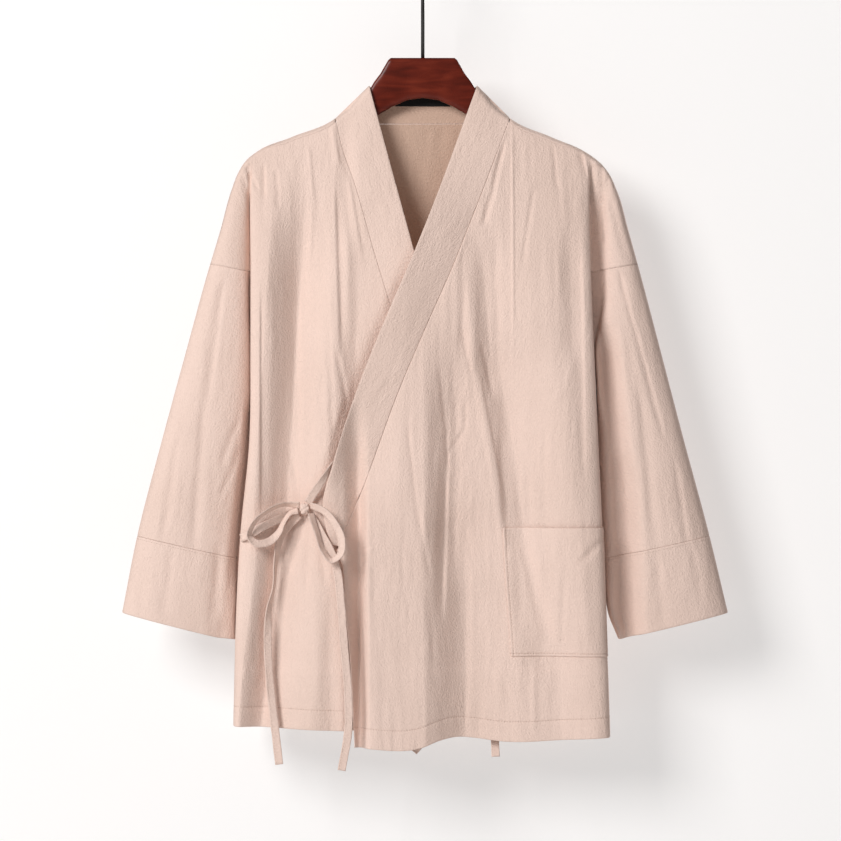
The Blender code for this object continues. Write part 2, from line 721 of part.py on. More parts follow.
def collar_back(count):
    """The stretch behind the neck, from the right ridge to the left one."""
    place = np.linspace(-1, 1, 2 * count + 1)
    angle = math.pi / 2 * place
    around = np.cos(angle)
    half = np.where(place > 0, OUTLINE[0].left, OUTLINE[0].right)
    top_x = half * np.sin(angle)
    seam_x = NECK_HALF_WIDTH * np.sin(angle)
    seam_drop = neck_drop(seam_x) - SEAM_GAP / 2
    seam_y = back_depth(seam_x, seam_drop)
    seam_y[[0, -1]] = 0
    top_drop = smooth(column(BACK_COLLAR, "around"), column(BACK_COLLAR, "top_drop"), around)
    top_y = smooth(column(BACK_COLLAR, "around"), column(BACK_COLLAR, "top_depth"), around)
    width = spaced(COLLAR_WIDTH_CELLS)[None, :]
    x = top_x[:, None] + (seam_x - top_x)[:, None] * width
    y = top_y[:, None] + (seam_y - top_y)[:, None] * width
    drop = top_drop[:, None] + (seam_drop - top_drop)[:, None] * width
    return np.stack([x, y, -drop], axis=2)


def pocket_grid(front, counts, first_row, pocket_rows):
    """Points of the patch pocket: the left front's own points, moved out from its cloth."""
    before, over = counts
    base = front[first_row : first_row + pocket_rows + 1, before : before + over + 1]
    x, drop = base[:, :, 0], -base[:, :, 2]
    half = SLOPE_STEP / 2
    slope_x = (front_depth(x + half, drop, 1) - front_depth(x - half, drop, 1)) / SLOPE_STEP
    slope_down = (front_depth(x, drop + half, 1) - front_depth(x, drop - half, 1)) / SLOPE_STEP
    normal = np.stack([-slope_x, -np.ones_like(x), slope_down], axis=2)
    normal /= np.linalg.norm(normal, axis=2, keepdims=True)
    return base + normal * (CLOTH_WALL + SEAM_GAP)


def sheet_mesh(name, grid, keep, flip):
    """A mesh of quads over a grid of points, leaving out the cells that keep says no to."""
    mesh = bmesh.new()
    rows, columns = grid.shape[:2]
    points = [[mesh.verts.new(Vector(p) * MM) for p in line] for line in grid]
    for i in range(rows - 1):
        for j in range(columns - 1):
            if not keep(i, j):
                continue
            loop = [points[i][j], points[i + 1][j], points[i + 1][j + 1], points[i][j + 1]]
            mesh.faces.new(loop[::-1] if flip else loop)
    loose = [vert for vert in mesh.verts if not vert.link_faces]
    bmesh.ops.delete(mesh, geom=loose, context="VERTS")
    bmesh.ops.remove_doubles(mesh, verts=mesh.verts, dist=0.00002)
    data = bpy.data.meshes.new(name)
    mesh.to_mesh(data)
    mesh.free()
    return data


def add_object(name, data, material):
    obj = bpy.data.objects.new(name, data)
    obj.data.materials.append(material)
    bpy.context.scene.collection.objects.link(obj)
    return obj


def cloth(name, grid, wall, material, keep=None, flip=False):
    """A closed cloth wall whose outer face runs through the grid's points."""
    data = sheet_mesh(name, grid, keep or (lambda i, j: True), flip)
    data.shade_smooth()
    obj = add_object(name, data, material)
    thick = obj.modifiers.new("Wall", "SOLIDIFY")
    thick.thickness = wall * MM
    thick.offset = -1
    thick.use_even_offset = True
    thick.use_quality_normals = True
    return obj


def strap_points(stops, spacing):
    """Centre, side and face directions along a strap, from its stops on the front."""
    lengths = np.array([0.0] + [math.dist(a[:2], b[:2]) for a, b in zip(stops, stops[1:])])
    along = np.cumsum(lengths)
    count = max(4, round(along[-1] / spacing))
    place = np.linspace(0, along[-1], count + 1)
    x, drop, out, twist = (smooth(along, column(stops, n), place) for n in Stop._fields)
    centre = np.stack([x, -(front_depth(x, drop) + out), -drop], axis=1)
    ahead = np.gradient(centre, axis=0)
    ahead /= np.linalg.norm(ahead, axis=1, keepdims=True)
    out_of_cloth = np.array([0.0, -1.0, 0.0])
    flat = np.cross(ahead, out_of_cloth)
    flat /= np.linalg.norm(flat, axis=1, keepdims=True)
    face = np.cross(flat, ahead)
    turn = np.radians(twist)[:, None]
    side = flat * np.cos(turn) + face * np.sin(turn)
    return centre, side, np.cross(ahead, side)


def swept(name, mesh, rings, material):
    """Joins rings of points into one closed solid with an end face at each end."""
    count = len(rings[0])
    for first, second in zip(rings, rings[1:]):
        for k in range(count):
            n = (k + 1) % count
            mesh.faces.new((first[k], first[n], second[n], second[k]))
    mesh.faces.new(rings[0][::-1])
    mesh.faces.new(rings[-1])
    bmesh.ops.recalc_face_normals(mesh, faces=mesh.faces)
    data = bpy.data.meshes.new(name)
    mesh.to_mesh(data)
    mesh.free()
    return add_object(name, data, material)


def strap(name, stops, material, spacing=STRAP_SPACING):
    """A flat tie of folded and stitched cloth, swept along its stops."""
    centre, side, face = strap_points(stops, spacing)
    half, thick = STRAP_WIDTH / 2, STRAP_WALL / 2
    corners = ((1, 1), (1, -1), (-1, -1), (-1, 1))
    mesh = bmesh.new()
    rings = []
    for c, s, f in zip(centre, side, face):
        places = [Vector(c + s * half * a + f * thick * b) for a, b in corners]
        rings.append([mesh.verts.new(place * MM) for place in places])
    return swept(name, mesh, rings, material)


def knot(name, material):
    """The bow's knot, a soft rounded lump that the ties run into."""
    mesh = bmesh.new()
    bmesh.ops.create_cube(mesh, size=2.0)
    bmesh.ops.subdivide_edges(mesh, edges=mesh.edges, cuts=3, use_grid_fill=True)
    depth = float(front_depth(KNOT.x, KNOT.drop)) + KNOT.out
    centre = Vector((KNOT.x, -depth, -KNOT.drop)) * MM
    for vert in mesh.verts:
        rounded = vert.co.lerp(vert.co.normalized() * KNOT_BALL, KNOT_ROUNDNESS)
        vert.co = Vector([c * s / 2 * MM for c, s in zip(rounded, KNOT_SIZE)]) + centre
    data = bpy.data.meshes.new(name)
    mesh.to_mesh(data)
    mesh.free()
    data.shade_smooth()
    return add_object(name, data, material)


def hanger_body(name, material):
    """The wooden hanger: a neck block over an arch, with two arms that fall to the shoulders."""
    half = [tuple(row) for row in WOOD_BLOCK]
    for arm in WOOD_ARM:
        shoulder = max(float(outline_drop(arm.x)), float(outline_drop(-arm.x)))
        half.append((arm.x, shoulder + arm.wall + ARM_CLEARANCE, arm.foot))
    stations = [(-x, top, foot) for x, top, foot in half[:0:-1]] + half
    mesh = bmesh.new()
    rings = []
    for x, top, foot in stations:
        middle = (top + foot) / 2
        half_tall = (foot - top) / 2
        section = []
        for corner in WOOD_SECTION:
            y = corner.across * WOOD_HALF_THICKNESS
            z = -(middle + corner.down * half_tall)
            section.append(mesh.verts.new(Vector((x, y, z)) * MM))
        rings.append(section)
    return swept(name, mesh, rings, material)


def hook_route():
    """Centre line of the hook: up from the wood, out to one side, then over the top."""
    centre_drop = HOOK_RADIUS - WIRE_RADIUS
    bend = math.radians(HOOK_SIDE_TURN)
    start_drop = centre_drop + 2 * HOOK_RADIUS * math.sin(bend)
    route = [(0.0, BLOCK_TOP_DROP - SEAM_GAP)]
    for turn in np.linspace(0, bend, 7):
        x = HOOK_RADIUS * (1 - math.cos(turn))
        route.append((x, start_drop - HOOK_RADIUS * math.sin(turn)))
    first = -(math.pi / 2 - bend)
    for turn in np.linspace(first, first + math.radians(HOOK_OVER_TURN), 26)[1:]:
        route.append((HOOK_RADIUS * math.cos(turn), centre_drop - HOOK_RADIUS * math.sin(turn)))
    return route


def hanger_hook(name, material):
    curve = bpy.data.curves.new(name, "CURVE")
    curve.dimensions = "3D"
    curve.bevel_depth = WIRE_RADIUS * MM
    curve.bevel_resolution = 3
    curve.use_fill_caps = True
    route = hook_route()
    spline = curve.splines.new("POLY")
    spline.points.add(len(route) - 1)
    for point, (x, drop) in zip(spline.points, route):
        point.co = (x * MM, 0.0, -drop * MM, 1.0)
    return add_object(name, curve, material)


def neck_label(name, material):
    """A bare woven label inside the back of the collar."""
    place = np.linspace(-1, 1, 7)[None, :]
    down = spaced(2)[:, None]
    x = LABEL_HALF_WIDTH * place + 0 * down
    drop = LABEL_TOP_DROP + (LABEL_FOOT_DROP - LABEL_TOP_DROP) * down + 0 * place
    band = collar_back(COLLAR_BACK_CELLS)
    top, seam = band[:, 0], band[:, -1]
    share = (drop - BACK_COLLAR[-1].top_drop) / (BACK_NECK_DROP - BACK_COLLAR[-1].top_drop)
    top_y = np.interp(x, top[:, 0], top[:, 1])
    seam_y = np.interp(x, seam[:, 0], seam[:, 1])
    stand_off = DOUBLE_WALL + SEAM_GAP + LABEL_WALL + LABEL_SLACK
    y = top_y + (seam_y - top_y) * share - stand_off
    return cloth(name, np.stack([x, y, -drop], axis=2), LABEL_WALL, material)


def material(name, color, roughness, metallic=0.0):
    made = bpy.data.materials.new(name)
    made.use_nodes = True
    shader = made.node_tree.nodes["Principled BSDF"]
    shader.inputs["Base Color"].default_value = (*color, 1.0)
    shader.inputs["Roughness"].default_value = roughness
    shader.inputs["Metallic"].default_value = metallic
    made.diffuse_color = (*color, 1.0)
    return made


def above_armhole_or(columns):
    """Says which cells a front keeps: the body's columns, and all of them over the armhole."""

    def kept(i, j):
        return j < columns or i < UPPER_ROWS

    return kept


def build_panels(cotton):
    rows = rows_of(UPPER_ROWS, MIDDLE_ROWS, POCKET_ROWS, LOWER_ROWS)
    columns = RIGHT_COLUMNS
    right = front_grid(-1, UNDER_SEAM, UNDER_EDGE, UNDER_HEM, -1, rows, columns, HUMP_COLUMNS)
    cloth("right_front", right, CLOTH_WALL, cotton, above_armhole_or(columns), flip=True)
    counts = LEFT_COLUMNS
    left = front_grid(1, OVER_SEAM, OVER_EDGE, OVER_HEM, 1, rows, counts, HUMP_COLUMNS)
    cloth("left_front", left, CLOTH_WALL, cotton, above_armhole_or(sum(counts) + 1))
    pocket = pocket_grid(left, counts, UPPER_ROWS + MIDDLE_ROWS, POCKET_ROWS)
    cloth("patch_pocket", pocket, CLOTH_WALL, cotton)
    back = over_ridge(back_grid(rows, NECK_COLUMNS, SHOULDER_COLUMNS, HUMP_COLUMNS), HUMP_COLUMNS)
    flap = len(back) - len(rows)
    middle = HUMP_COLUMNS + SHOULDER_COLUMNS + NECK_COLUMNS

    def in_back(i, j):
        out = max(middle - j, j + 1 - middle)
        if i < flap:
            return NECK_COLUMNS < out <= NECK_COLUMNS + SHOULDER_COLUMNS + 1
        return out <= NECK_COLUMNS + SHOULDER_COLUMNS or i < UPPER_ROWS + flap

    cloth("back_panel", back, CLOTH_WALL, cotton, in_back, flip=True)


def build_sleeves(cotton):
    for side, word in ((-1, "right"), (1, "left")):
        cloth(f"{word}_sleeve", ring(side, SLEEVE_LEVELS, RING_CELLS), CLOTH_WALL, cotton, flip=side < 0)
        cloth(f"{word}_cuff", ring(side, CUFF_LEVELS, RING_CELLS), DOUBLE_WALL, cotton, flip=side < 0)


def build_ties(cotton):
    knot("bow_knot", cotton)
    strap("side_tie", SIDE_TIE, cotton)
    strap("front_tie", FRONT_TIE, cotton)
    strap("bow_loop_right", RIGHT_LOOP, cotton, LOOP_SPACING)
    strap("bow_loop_left", LEFT_LOOP, cotton, LOOP_SPACING)
    strap("tie_end_right", RIGHT_TAIL, cotton)
    strap("tie_end_left", LEFT_TAIL, cotton)
    strap("inner_tie_left", INNER_TIE_LEFT, cotton)
    strap("inner_tie_right", INNER_TIE_RIGHT, cotton)


def main():
    clear_scene()
    cotton = material("crinkled_cotton", (0.76, 0.57, 0.48), 0.9)
    wood = material("red_brown_wood", (0.12, 0.02, 0.01), 0.3)
    wire = material("black_wire", (0.02, 0.02, 0.02), 0.35, 1.0)
    woven = material("black_label", (0.01, 0.01, 0.01), 0.8)
    build_panels(cotton)
    build_sleeves(cotton)
    collar = collar_grid(COLLAR_ROWS, COLLAR_BACK_CELLS)
    cloth("collar_band", collar, DOUBLE_WALL, cotton)
    build_ties(cotton)
    hanger_body("hanger_body", wood)
    hanger_hook("hanger_hook", wire)
    neck_label("neck_label", woven)


main()
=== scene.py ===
"""Kimono jacket on a hanger: crinkled cotton, red-brown wood, black wire and a bare black label.

Metres, +Z up, the garment's front towards -Y, the origin at the inner top of the hook. In the
tables lengths are millimetres and a drop is the distance below the origin. Right and left are the
wearer's, and right lies towards -X. The cloth follows the lines of its solids at a finer spacing,
with its creases, crinkle, hems and stitches laid on top. It leaves those lines where it fell
differently in the photo: at the deep folds, the lifted collar and the sleeves' tucked inner edges.
"""

import math
from collections import namedtuple

import bmesh
import bpy
import numpy as np
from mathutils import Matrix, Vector


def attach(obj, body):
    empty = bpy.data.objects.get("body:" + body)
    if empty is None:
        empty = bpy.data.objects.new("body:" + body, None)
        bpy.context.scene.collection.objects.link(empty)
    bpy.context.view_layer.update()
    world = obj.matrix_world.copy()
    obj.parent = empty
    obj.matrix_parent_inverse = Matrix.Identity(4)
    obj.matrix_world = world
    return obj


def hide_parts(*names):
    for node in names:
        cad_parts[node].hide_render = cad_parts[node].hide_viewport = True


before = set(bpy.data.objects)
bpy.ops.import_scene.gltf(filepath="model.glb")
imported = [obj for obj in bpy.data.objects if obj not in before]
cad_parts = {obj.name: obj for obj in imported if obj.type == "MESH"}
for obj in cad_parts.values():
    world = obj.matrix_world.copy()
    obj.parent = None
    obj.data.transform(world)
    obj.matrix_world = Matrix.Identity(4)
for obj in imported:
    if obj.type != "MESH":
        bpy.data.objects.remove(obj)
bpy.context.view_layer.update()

MM = 0.001

SEAM_GAP = 0.08
CURVE_SLACK = 0.15
SIDE_RIM_LEAN = 0.1
TIP_RIM_LEAN = 0.12
CORNER_GAP = 0.1
CORNER_REACH = (0.93, 1.0)
LAP_GAP = 2.2
LAP_HOLLOW = 6.0
LAP_HOLLOW_START = -14.0
LAP_HOLLOW_END = 10.0
LAP_TOP = (350.0, 400.0)
LAP_START = (260.0, 320.0)
LAP_SIDE_FADE = (0.8, 1.0)
SEAM_FORWARD = 6.0
TIP_FORWARD = 0.8
TIP_TAPER = (0.8, 1.0)
TIP_DROP = 240.0
CRISPNESS = 0.5
RIDGE_DEPTH = 10.0
RIDGE_ROUND = 6.0
SHOULDER_FALL = 60.0
HANGS_FREE = (232.0, 325.0)
FOLD_STARTS = (-0.3, 0.25)
FOLD_STOPS = (0.8, 1.2)
FOLD_SIDE_FADE = (0.94, 1.0)
Wave = namedtuple("Wave", "height across down")
CRINKLE_SWAY = Wave(5.0, 60.0, 90.0)
CRINKLE_BROAD = Wave(0.55, 11.0, 95.0)
CRINKLE_NARROW = Wave(0.30, 5.0, 42.0)
CRINKLE_STRENGTH = 0.75
CRINKLE_PLACES = Wave(0.45, 55.0, 120.0)
COLLAR_LONG = Wave(0.5, 30.0, 34.0)
COLLAR_SHORT = Wave(0.25, 9.0, 30.0)
COLLAR_SHORT_SLANT = 0.6
STRAP_WIDTH_WAVE = Wave(0.04, 9.0, 1.0)
STRAP_CUP_WAVE = Wave(0.25, 7.0, 1.0)
CREASE_STARTS = (-0.12, 0.2)
CREASE_STOPS = (0.8, 1.12)
SIDE_CALM = (0.93, 1.0)
RING_CALM = (0.12, 0.88)
RING_CALM_DROP = 12.0
FRONT_EDGE_CALM = 7.0
TOP_CALM = 6.0
BACK_TOP_CALM = 8.0
COLLAR_CALM = 20.0
HUMP_CALM = 0.25
HUMP_JOIN = 0.35
FIRST_TOP_DROP = 200.0
FIRST_HEM_DROP = 905.0
LEAST = 1e-6
BODY_SQUARENESS = 8.0
SLEEVE_SQUARENESS = 2.3
SLEEVE_INNER_SQUARENESS = 2.4
SLEEVE_PARTS = (490.0, 640.0)
SLEEVE_ROUNDS = (400.0, 470.0)
NECK_HALF_WIDTH = 101.0
BACK_NECK_DROP = 199.5
NECK_ROUNDNESS = 0.3
COLLAR_TAPER = (60.0, 20.0)
COLLAR_SLANT = 12.0
COLLAR_SLANT_FADE = 20.0
COLLAR_ROW_BIAS = 1.15
COLLAR_LIFT = 13.0
COLLAR_LIFT_SPAN = (225.0, 330.0, 560.0, 640.0)
RIDGE_STEPS = (0.0, 0.6, 1.2, 2.4, 4.0)
FLAP_SHARES = (1.0, 0.8, 0.6, 0.4, 0.25, 0.1)
TIP_HALF_WIDTH = 207.0
ARMHOLE_DROP = 372.0
ARMHOLE_OUTER_DROP = 363.0
UNDERARM_DROP = 505.0
UNDERARM_CLOSING = 34.0
ARMHOLE_HALF_OPEN = 2.0
UPPER_ROW_BIAS = 1.3
VENT_DROP = 824.0
VENT_HALF_GAP = 1.6
VENT_START = 12.0
SETTLING_ROUNDS = 14
FRONT_SEED = 20
BACK_SEED = 40
SLEEVE_SEED = 70
COLLAR_LONG_SEED = 90
COLLAR_SHORT_SEED = 95
POCKET_SEED = 120
LABEL_SEED = 130
DRAWN_BACK = 8.0
EDGE_SHARE = 0.4
DRAWN_SHARE = 0.8
TUCK_GAP = 0.12
TUCK_DEPTH = 9.0
TUCK_STARTS = (505.0, 560.0)
TUCK_STOPS = (700.0, 760.0)
LEFT_TUCK_STOPS = (730.0, 785.0)
TUCK_FRONT = 0.1
TUCK_BACK = 0.5

CLOTH_WALL = 0.9
DOUBLE_WALL = 1.6
STRAP_WIDTH = 9.4
STRAP_WALL = 1.5
STRAP_SPACING = 2.0

UPPER_ROWS = 70
MIDDLE_ROWS = 76
POCKET_ROWS = 40
LOWER_ROWS = 24
RIGHT_COLUMNS = 130
LEFT_COLUMNS = (100, 60)
NECK_COLUMNS = 40
SHOULDER_COLUMNS = 40
HUMP_COLUMNS = 16
RING_CELLS = 52
SLEEVE_ROWS = 110
CUFF_ROWS = 34
COLLAR_ROWS = 190
COLLAR_BACK_CELLS = 44
COLLAR_WIDTH_CELLS = 16


def table(kind, *rows):
    """Rows of one kind, so that each of their numbers is read by its name."""
    return tuple(kind(*row) for row in rows)


Outline = namedtuple("Outline", "drop right left")
OUTLINE = table(
    Outline,
    (155.5, 62.0, 63.0),
    (193.4, 101.0, 101.0),
    (215.3, 151.8, 148.9),
    (233.7, 194.0, 190.0),
    (243.0, 205.0, 203.0),
    (254.4, 212.5, 213.5),
    (277.4, 221.7, 225.0),
    (323.4, 234.4, 238.3),
    (369.4, 248.2, 250.9),
    (461.4, 273.5, 275.1),
    (564.9, 301.6, 302.1),
    (676.5, 330.5, 332.0),
    (767.9, 348.5, 353.9),
)

Body = namedtuple("Body", "drop right left front back")
BODY = table(
    Body,
    (150.0, 196.0, 194.0, 18.0, 14.0),
    (243.0, 196.4, 194.6, 22.0, 18.0),
    (277.4, 198.7, 193.4, 27.0, 21.0),
    (371.7, 198.7, 195.2, 36.0, 28.0),
    (461.4, 198.7, 198.6, 42.0, 33.0),
    (564.9, 199.9, 203.2, 44.0, 35.0),
    (674.1, 210.2, 207.8, 44.0, 36.0),
    (771.9, 215.4, 211.8, 46.0, 38.0),
    (840.9, 217.1, 214.7, 48.0, 40.0),
    (920.0, 218.3, 217.0, 50.0, 42.0),
)

Sleeve = namedtuple("Sleeve", "drop right left depth")
SLEEVE = table(
    Sleeve,
    (262.0, 201.0, 209.0, 14.0),
    (371.7, 201.0, 209.5, 18.0),
    (461.4, 201.0, 210.5, 21.0),
    (564.9, 202.5, 211.0, 23.0),
    (674.1, 212.5, 212.0, 24.0),
    (720.0, 216.5, 214.0, 24.0),
    (772.0, 218.5, 217.0, 24.0),
    (800.0, 227.5, 228.0, 24.0),
)

Level = namedtuple("Level", "outer inner")
SLEEVE_LEVELS = table(
    Level,
    (363.08, 372.08),
    (400.0, 412.0),
    (440.0, 460.0),
    (480.0, 505.0),
    (530.0, 556.0),
    (580.0, 607.0),
    (630.0, 657.0),
    (677.0, 703.0),
)
CUFF_LEVELS = table(
    Level,
    (677.1, 703.1),
    (708.0, 736.0),
    (737.0, 768.0),
    (766.0, 797.0),
)

Edge = namedtuple("Edge", "drop x")
OVER_EDGE = table(
    Edge,
    (156.2, 63.0),
    (349.8, -9.5),
    (425.7, -42.3),
    (499.9, -72.2),
    (568.0, -95.2),
    (594.8, -103.3),
    (641.5, -115.2),
    (668.4, -111.3),
    (708.6, -92.9),
    (748.9, -89.5),
    (806.4, -83.7),
    (919.1, -78.0),
)
OVER_SEAM = table(
    Edge,
    (193.4, 101.0),
    (323.4, 51.5),
    (365.9, 34.5),
    (418.8, 11.2),
    (518.9, -31.4),
    (606.3, -63.4),
    (671.8, -89.5),
    (690.0, -96.0),
)
UNDER_EDGE = table(
    Edge,
    (156.2, -61.9),
    (349.8, -9.4),
    (438.4, 15.2),
    (518.9, 37.0),
    (622.4, 62.0),
    (694.0, 67.0),
    (912.0, 76.0),
)
UNDER_SEAM = table(
    Edge,
    (193.4, -101.0),
    (221.0, -95.2),
    (278.5, -76.1),
    (345.2, -57.3),
    (461.4, -21.6),
    (541.9, 1.4),
    (610.9, 24.0),
    (660.0, 47.0),
    (690.0, 62.0),
)
OVER_HEM = table(
    Edge,
    (919.1, -78.0),
    (918.5, -1.0),
    (911.0, 19.2),
    (907.6, 37.0),
    (908.7, 58.9),
    (912.2, 87.6),
    (909.9, 169.3),
    (907.6, 216.4),
)
UNDER_HEM = table(
    Edge,
    (894.9, -218.3),
    (899.5, -92.9),
    (903.0, 76.0),
)
BACK_HEM = table(
    Edge,
    (896.0, -218.3),
    (900.0, 0.0),
    (905.0, 217.0),
)

Fold = namedtuple("Fold", "top_x top_drop foot_x foot_drop half_width top_height foot_height lean")
FRONT_FOLDS = table(
    Fold,
    (-129.0, 330.0, -150.0, 680.0, 46.0, -25.0, -22.0, -0.2),
    (-147.0, 690.0, -177.0, 945.0, 43.0, -19.0, -22.0, -0.35),
    (-90.0, 215.0, -84.0, 330.0, 14.0, -3.0, -4.0, 0.0),
    (-60.0, 330.0, -70.0, 640.0, 45.0, -8.0, -12.0, -0.3),
    (-108.0, 720.0, -104.0, 930.0, 15.0, -2.0, -3.0, 0.0),
    (96.0, 480.0, 97.0, 700.0, 95.0, -15.0, -22.0, -0.62),
    (101.0, 700.0, 103.0, 945.0, 100.0, -24.0, -27.0, -0.53),
    (93.0, 350.0, 105.0, 500.0, 45.0, -8.0, -11.0, -0.55),
    (109.0, 500.0, 135.0, 680.0, 45.0, -13.0, -12.0, -0.4),
    (133.0, 690.0, 155.0, 830.0, 45.0, -8.0, -8.0, -0.3),
    (160.0, 820.0, 165.0, 945.0, 50.0, -6.0, -8.0, -0.1),
    (168.0, 340.0, 172.0, 470.0, 14.0, -3.0, -4.0, 0.0),
)
LAP_FOLDS = table(
    Fold,
    (-77.0, 600.0, -75.0, 945.0, 14.0, -17.0, -24.0, 0.2),
)
BACK_FOLDS = table(
    Fold,
    (-120.0, 330.0, -132.0, 930.0, 34.0, -3.0, -9.0, 0.2),
    (-40.0, 420.0, -44.0, 930.0, 36.0, 2.0, 8.0, -0.2),
    (38.0, 380.0, 46.0, 930.0, 34.0, -3.0, -9.0, 0.3),
    (112.0, 300.0, 128.0, 930.0, 34.0, 2.0, 8.0, 0.0),
)

Neck = namedtuple("Neck", "around top_drop top_depth")
BACK_COLLAR = table(
    Neck,
    (0.0, 155.5, 0.0),
    (0.12, 155.8, 8.5),
    (0.3, 156.4, 15.0),
    (0.6, 157.4, 18.5),
    (1.0, 158.0, 20.0),
)

POCKET_TOP_DROP = 667.0
POCKET_FOOT_DROP = 815.0
Lines = namedtuple("Lines", "drop inner outer")
POCKET_LINES = table(
    Lines,
    (195.0, 128.0, 192.4),
    (372.0, 112.0, 193.6),
    (520.0, 96.0, 199.6),
    (667.0, 92.2, 206.6),
    (815.0, 101.4, 211.8),
    (912.0, 106.0, 214.6),
)

Stop = namedtuple("Stop", "x drop out twist")
SIDE_TIE = table(
    Stop,
    (-209.0, 678.5, 5.0, 10.0),
    (-196.4, 673.0, 5.2, 5.0),
    (-184.9, 666.1, 4.2, 10.0),
    (-170.0, 659.2, 3.6, 10.0),
    (-152.7, 651.5, 3.6, 5.0),
    (-141.7, 646.8, 4.6, 0.0),
)
FRONT_TIE = table(
    Stop,
    (-101.5, 592.0, 1.4, 60.0),
    (-106.5, 599.5, 2.4, 52.0),
    (-112.5, 608.5, 5.0, 38.0),
    (-119.0, 618.0, 6.4, 20.0),
    (-126.0, 628.5, 6.6, 8.0),
    (-131.6, 638.4, 6.8, 0.0),
)
RIGHT_LOOP = table(
    Stop,
    (-141.0, 641.2, 9.4, 35.0),
    (-160.0, 640.0, 12.5, 60.0),
    (-180.3, 649.0, 13.5, 65.0),
    (-195.3, 664.5, 13.0, 60.0),
    (-198.5, 676.4, 11.5, 50.0),
    (-189.5, 684.5, 10.0, 25.0),
    (-175.7, 682.2, 11.8, 15.0),
    (-165.0, 671.8, 14.0, 40.0),
    (-159.0, 659.2, 15.0, 60.0),
    (-151.0, 649.5, 13.5, 60.0),
    (-143.0, 647.2, 10.5, 40.0),
)
LEFT_LOOP = table(
    Stop,
    (-128.8, 641.0, 9.0, -40.0),
    (-113.6, 647.0, 13.0, -35.0),
    (-99.8, 662.6, 16.0, -30.0),
    (-92.3, 681.0, 17.5, -25.0),
    (-95.0, 697.5, 17.5, -40.0),
    (-104.4, 703.5, 16.5, -55.0),
    (-112.5, 694.8, 15.0, -60.0),
    (-121.5, 670.7, 13.0, -55.0),
    (-128.2, 650.5, 9.5, -45.0),
)
RIGHT_TAIL = table(
    Stop,
    (-142.0, 652.0, 6.4, 0.0),
    (-152.0, 662.0, 6.0, 8.0),
    (-163.1, 677.0, 6.2, 22.0),
    (-168.5, 702.9, 8.6, 60.0),
    (-171.1, 735.1, 8.0, 75.0),
    (-176.5, 759.2, 9.0, 55.0),
    (-178.0, 783.4, 10.0, 25.0),
    (-175.1, 847.8, 12.0, 20.0),
    (-170.5, 886.9, 12.0, 10.0),
    (-164.2, 936.9, 11.0, 0.0),
)
LEFT_TAIL = table(
    Stop,
    (-128.6, 652.0, 4.0, 0.0),
    (-115.9, 674.1, 5.5, 0.0),
    (-104.5, 695.0, 7.0, 0.0),
    (-98.5, 714.0, 8.0, 0.0),
    (-93.5, 755.0, 9.0, 0.0),
    (-90.0, 799.5, 10.0, 5.0),
    (-85.5, 852.4, 11.0, 5.0),
    (-85.0, 896.1, 11.0, 5.0),
    (-92.7, 943.2, 10.0, 0.0),
)
INNER_TIE_LEFT = table(
    Stop,
    (60.5, 632.0, -11.3, 0.0),
    (66.0, 660.0, -11.7, 0.0),
    (74.0, 720.0, -13.0, 0.0),
    (78.0, 780.0, -14.0, 0.0),
    (81.0, 850.0, -14.0, 0.0),
    (84.0, 931.0, -13.0, 0.0),
)
INNER_TIE_RIGHT = table(
    Stop,
    (44.0, 634.0, -12.7, 0.0),
    (38.0, 660.0, -13.8, 0.0),
    (24.0, 725.0, -16.0, 0.0),
    (-4.0, 800.0, -16.0, 0.0),
    (-27.0, 870.0, -16.0, 0.0),
    (-25.0, 904.0, -15.0, 0.0),
    (-4.0, 923.5, -13.0, 0.0),
)
KNOT = Stop(-135.5, 645.0, 7.0, 0.0)
KNOT_SIZE = (10.6, 8.6, 12.2)
KNOT_BALL = 1.25
KNOT_ROUNDNESS = 0.75
KNOT_CUTS = 19
KNOT_SLANT = (0.8, 0.55)
KNOT_TURNS = 9.0
KNOT_TURN_DEPTH = 0.13
KNOT_PUCKERS = (13.0, 5.0)
KNOT_PUCKER_DEPTH = 0.05

Wood = namedtuple("Wood", "x top foot")
WOOD_BLOCK = table(
    Wood,
    (0.0, 125.0, 171.6),
    (18.0, 125.0, 174.0),
    (37.0, 125.0, 182.5),
    (40.0, 127.5, 184.6),
    (49.0, 143.0, 189.6),
    (56.0, 151.5, 193.5),
)
Arm = namedtuple("Arm", "x wall foot")
WOOD_ARM = table(
    Arm,
    (62.5, 5.4, 197.5),
    (80.0, 6.8, 210.0),
    (101.0, 6.0, 224.0),
    (120.0, 2.2, 234.0),
    (150.0, 2.2, 247.0),
    (176.0, 2.2, 256.0),
    (191.0, 4.0, 259.0),
)
ARM_CLEARANCE = 0.5
WOOD_HALF_THICKNESS = 5.5
WOOD_ROUNDNESS = 4.0
WOOD_RAISED = 1.4
WOOD_TIP_LENGTH = 9.0

WOOD_STATION_GAP = 2.5
WOOD_TIP_STATIONS = (188.0, 190.0, 190.7)
WOOD_RAISED_FADE = (45.0, 65.0)
WOOD_CORNERS = 28

WIRE_RADIUS = 2.1
WIRE_CORNERS = 20
HOOK_RADIUS = 20.0
HOOK_SIDE_TURN = 60.0
HOOK_OVER_TURN = 240.0
BLOCK_TOP_DROP = 125.0

LABEL_HALF_WIDTH = 32.0
LABEL_TOP_DROP = 162.0
LABEL_FOOT_DROP = 178.5
LABEL_STAND_OFF = 3.3
LABEL_WALL = 0.8
LABEL_WAVE = Wave(0.15, 9.0, 12.0)

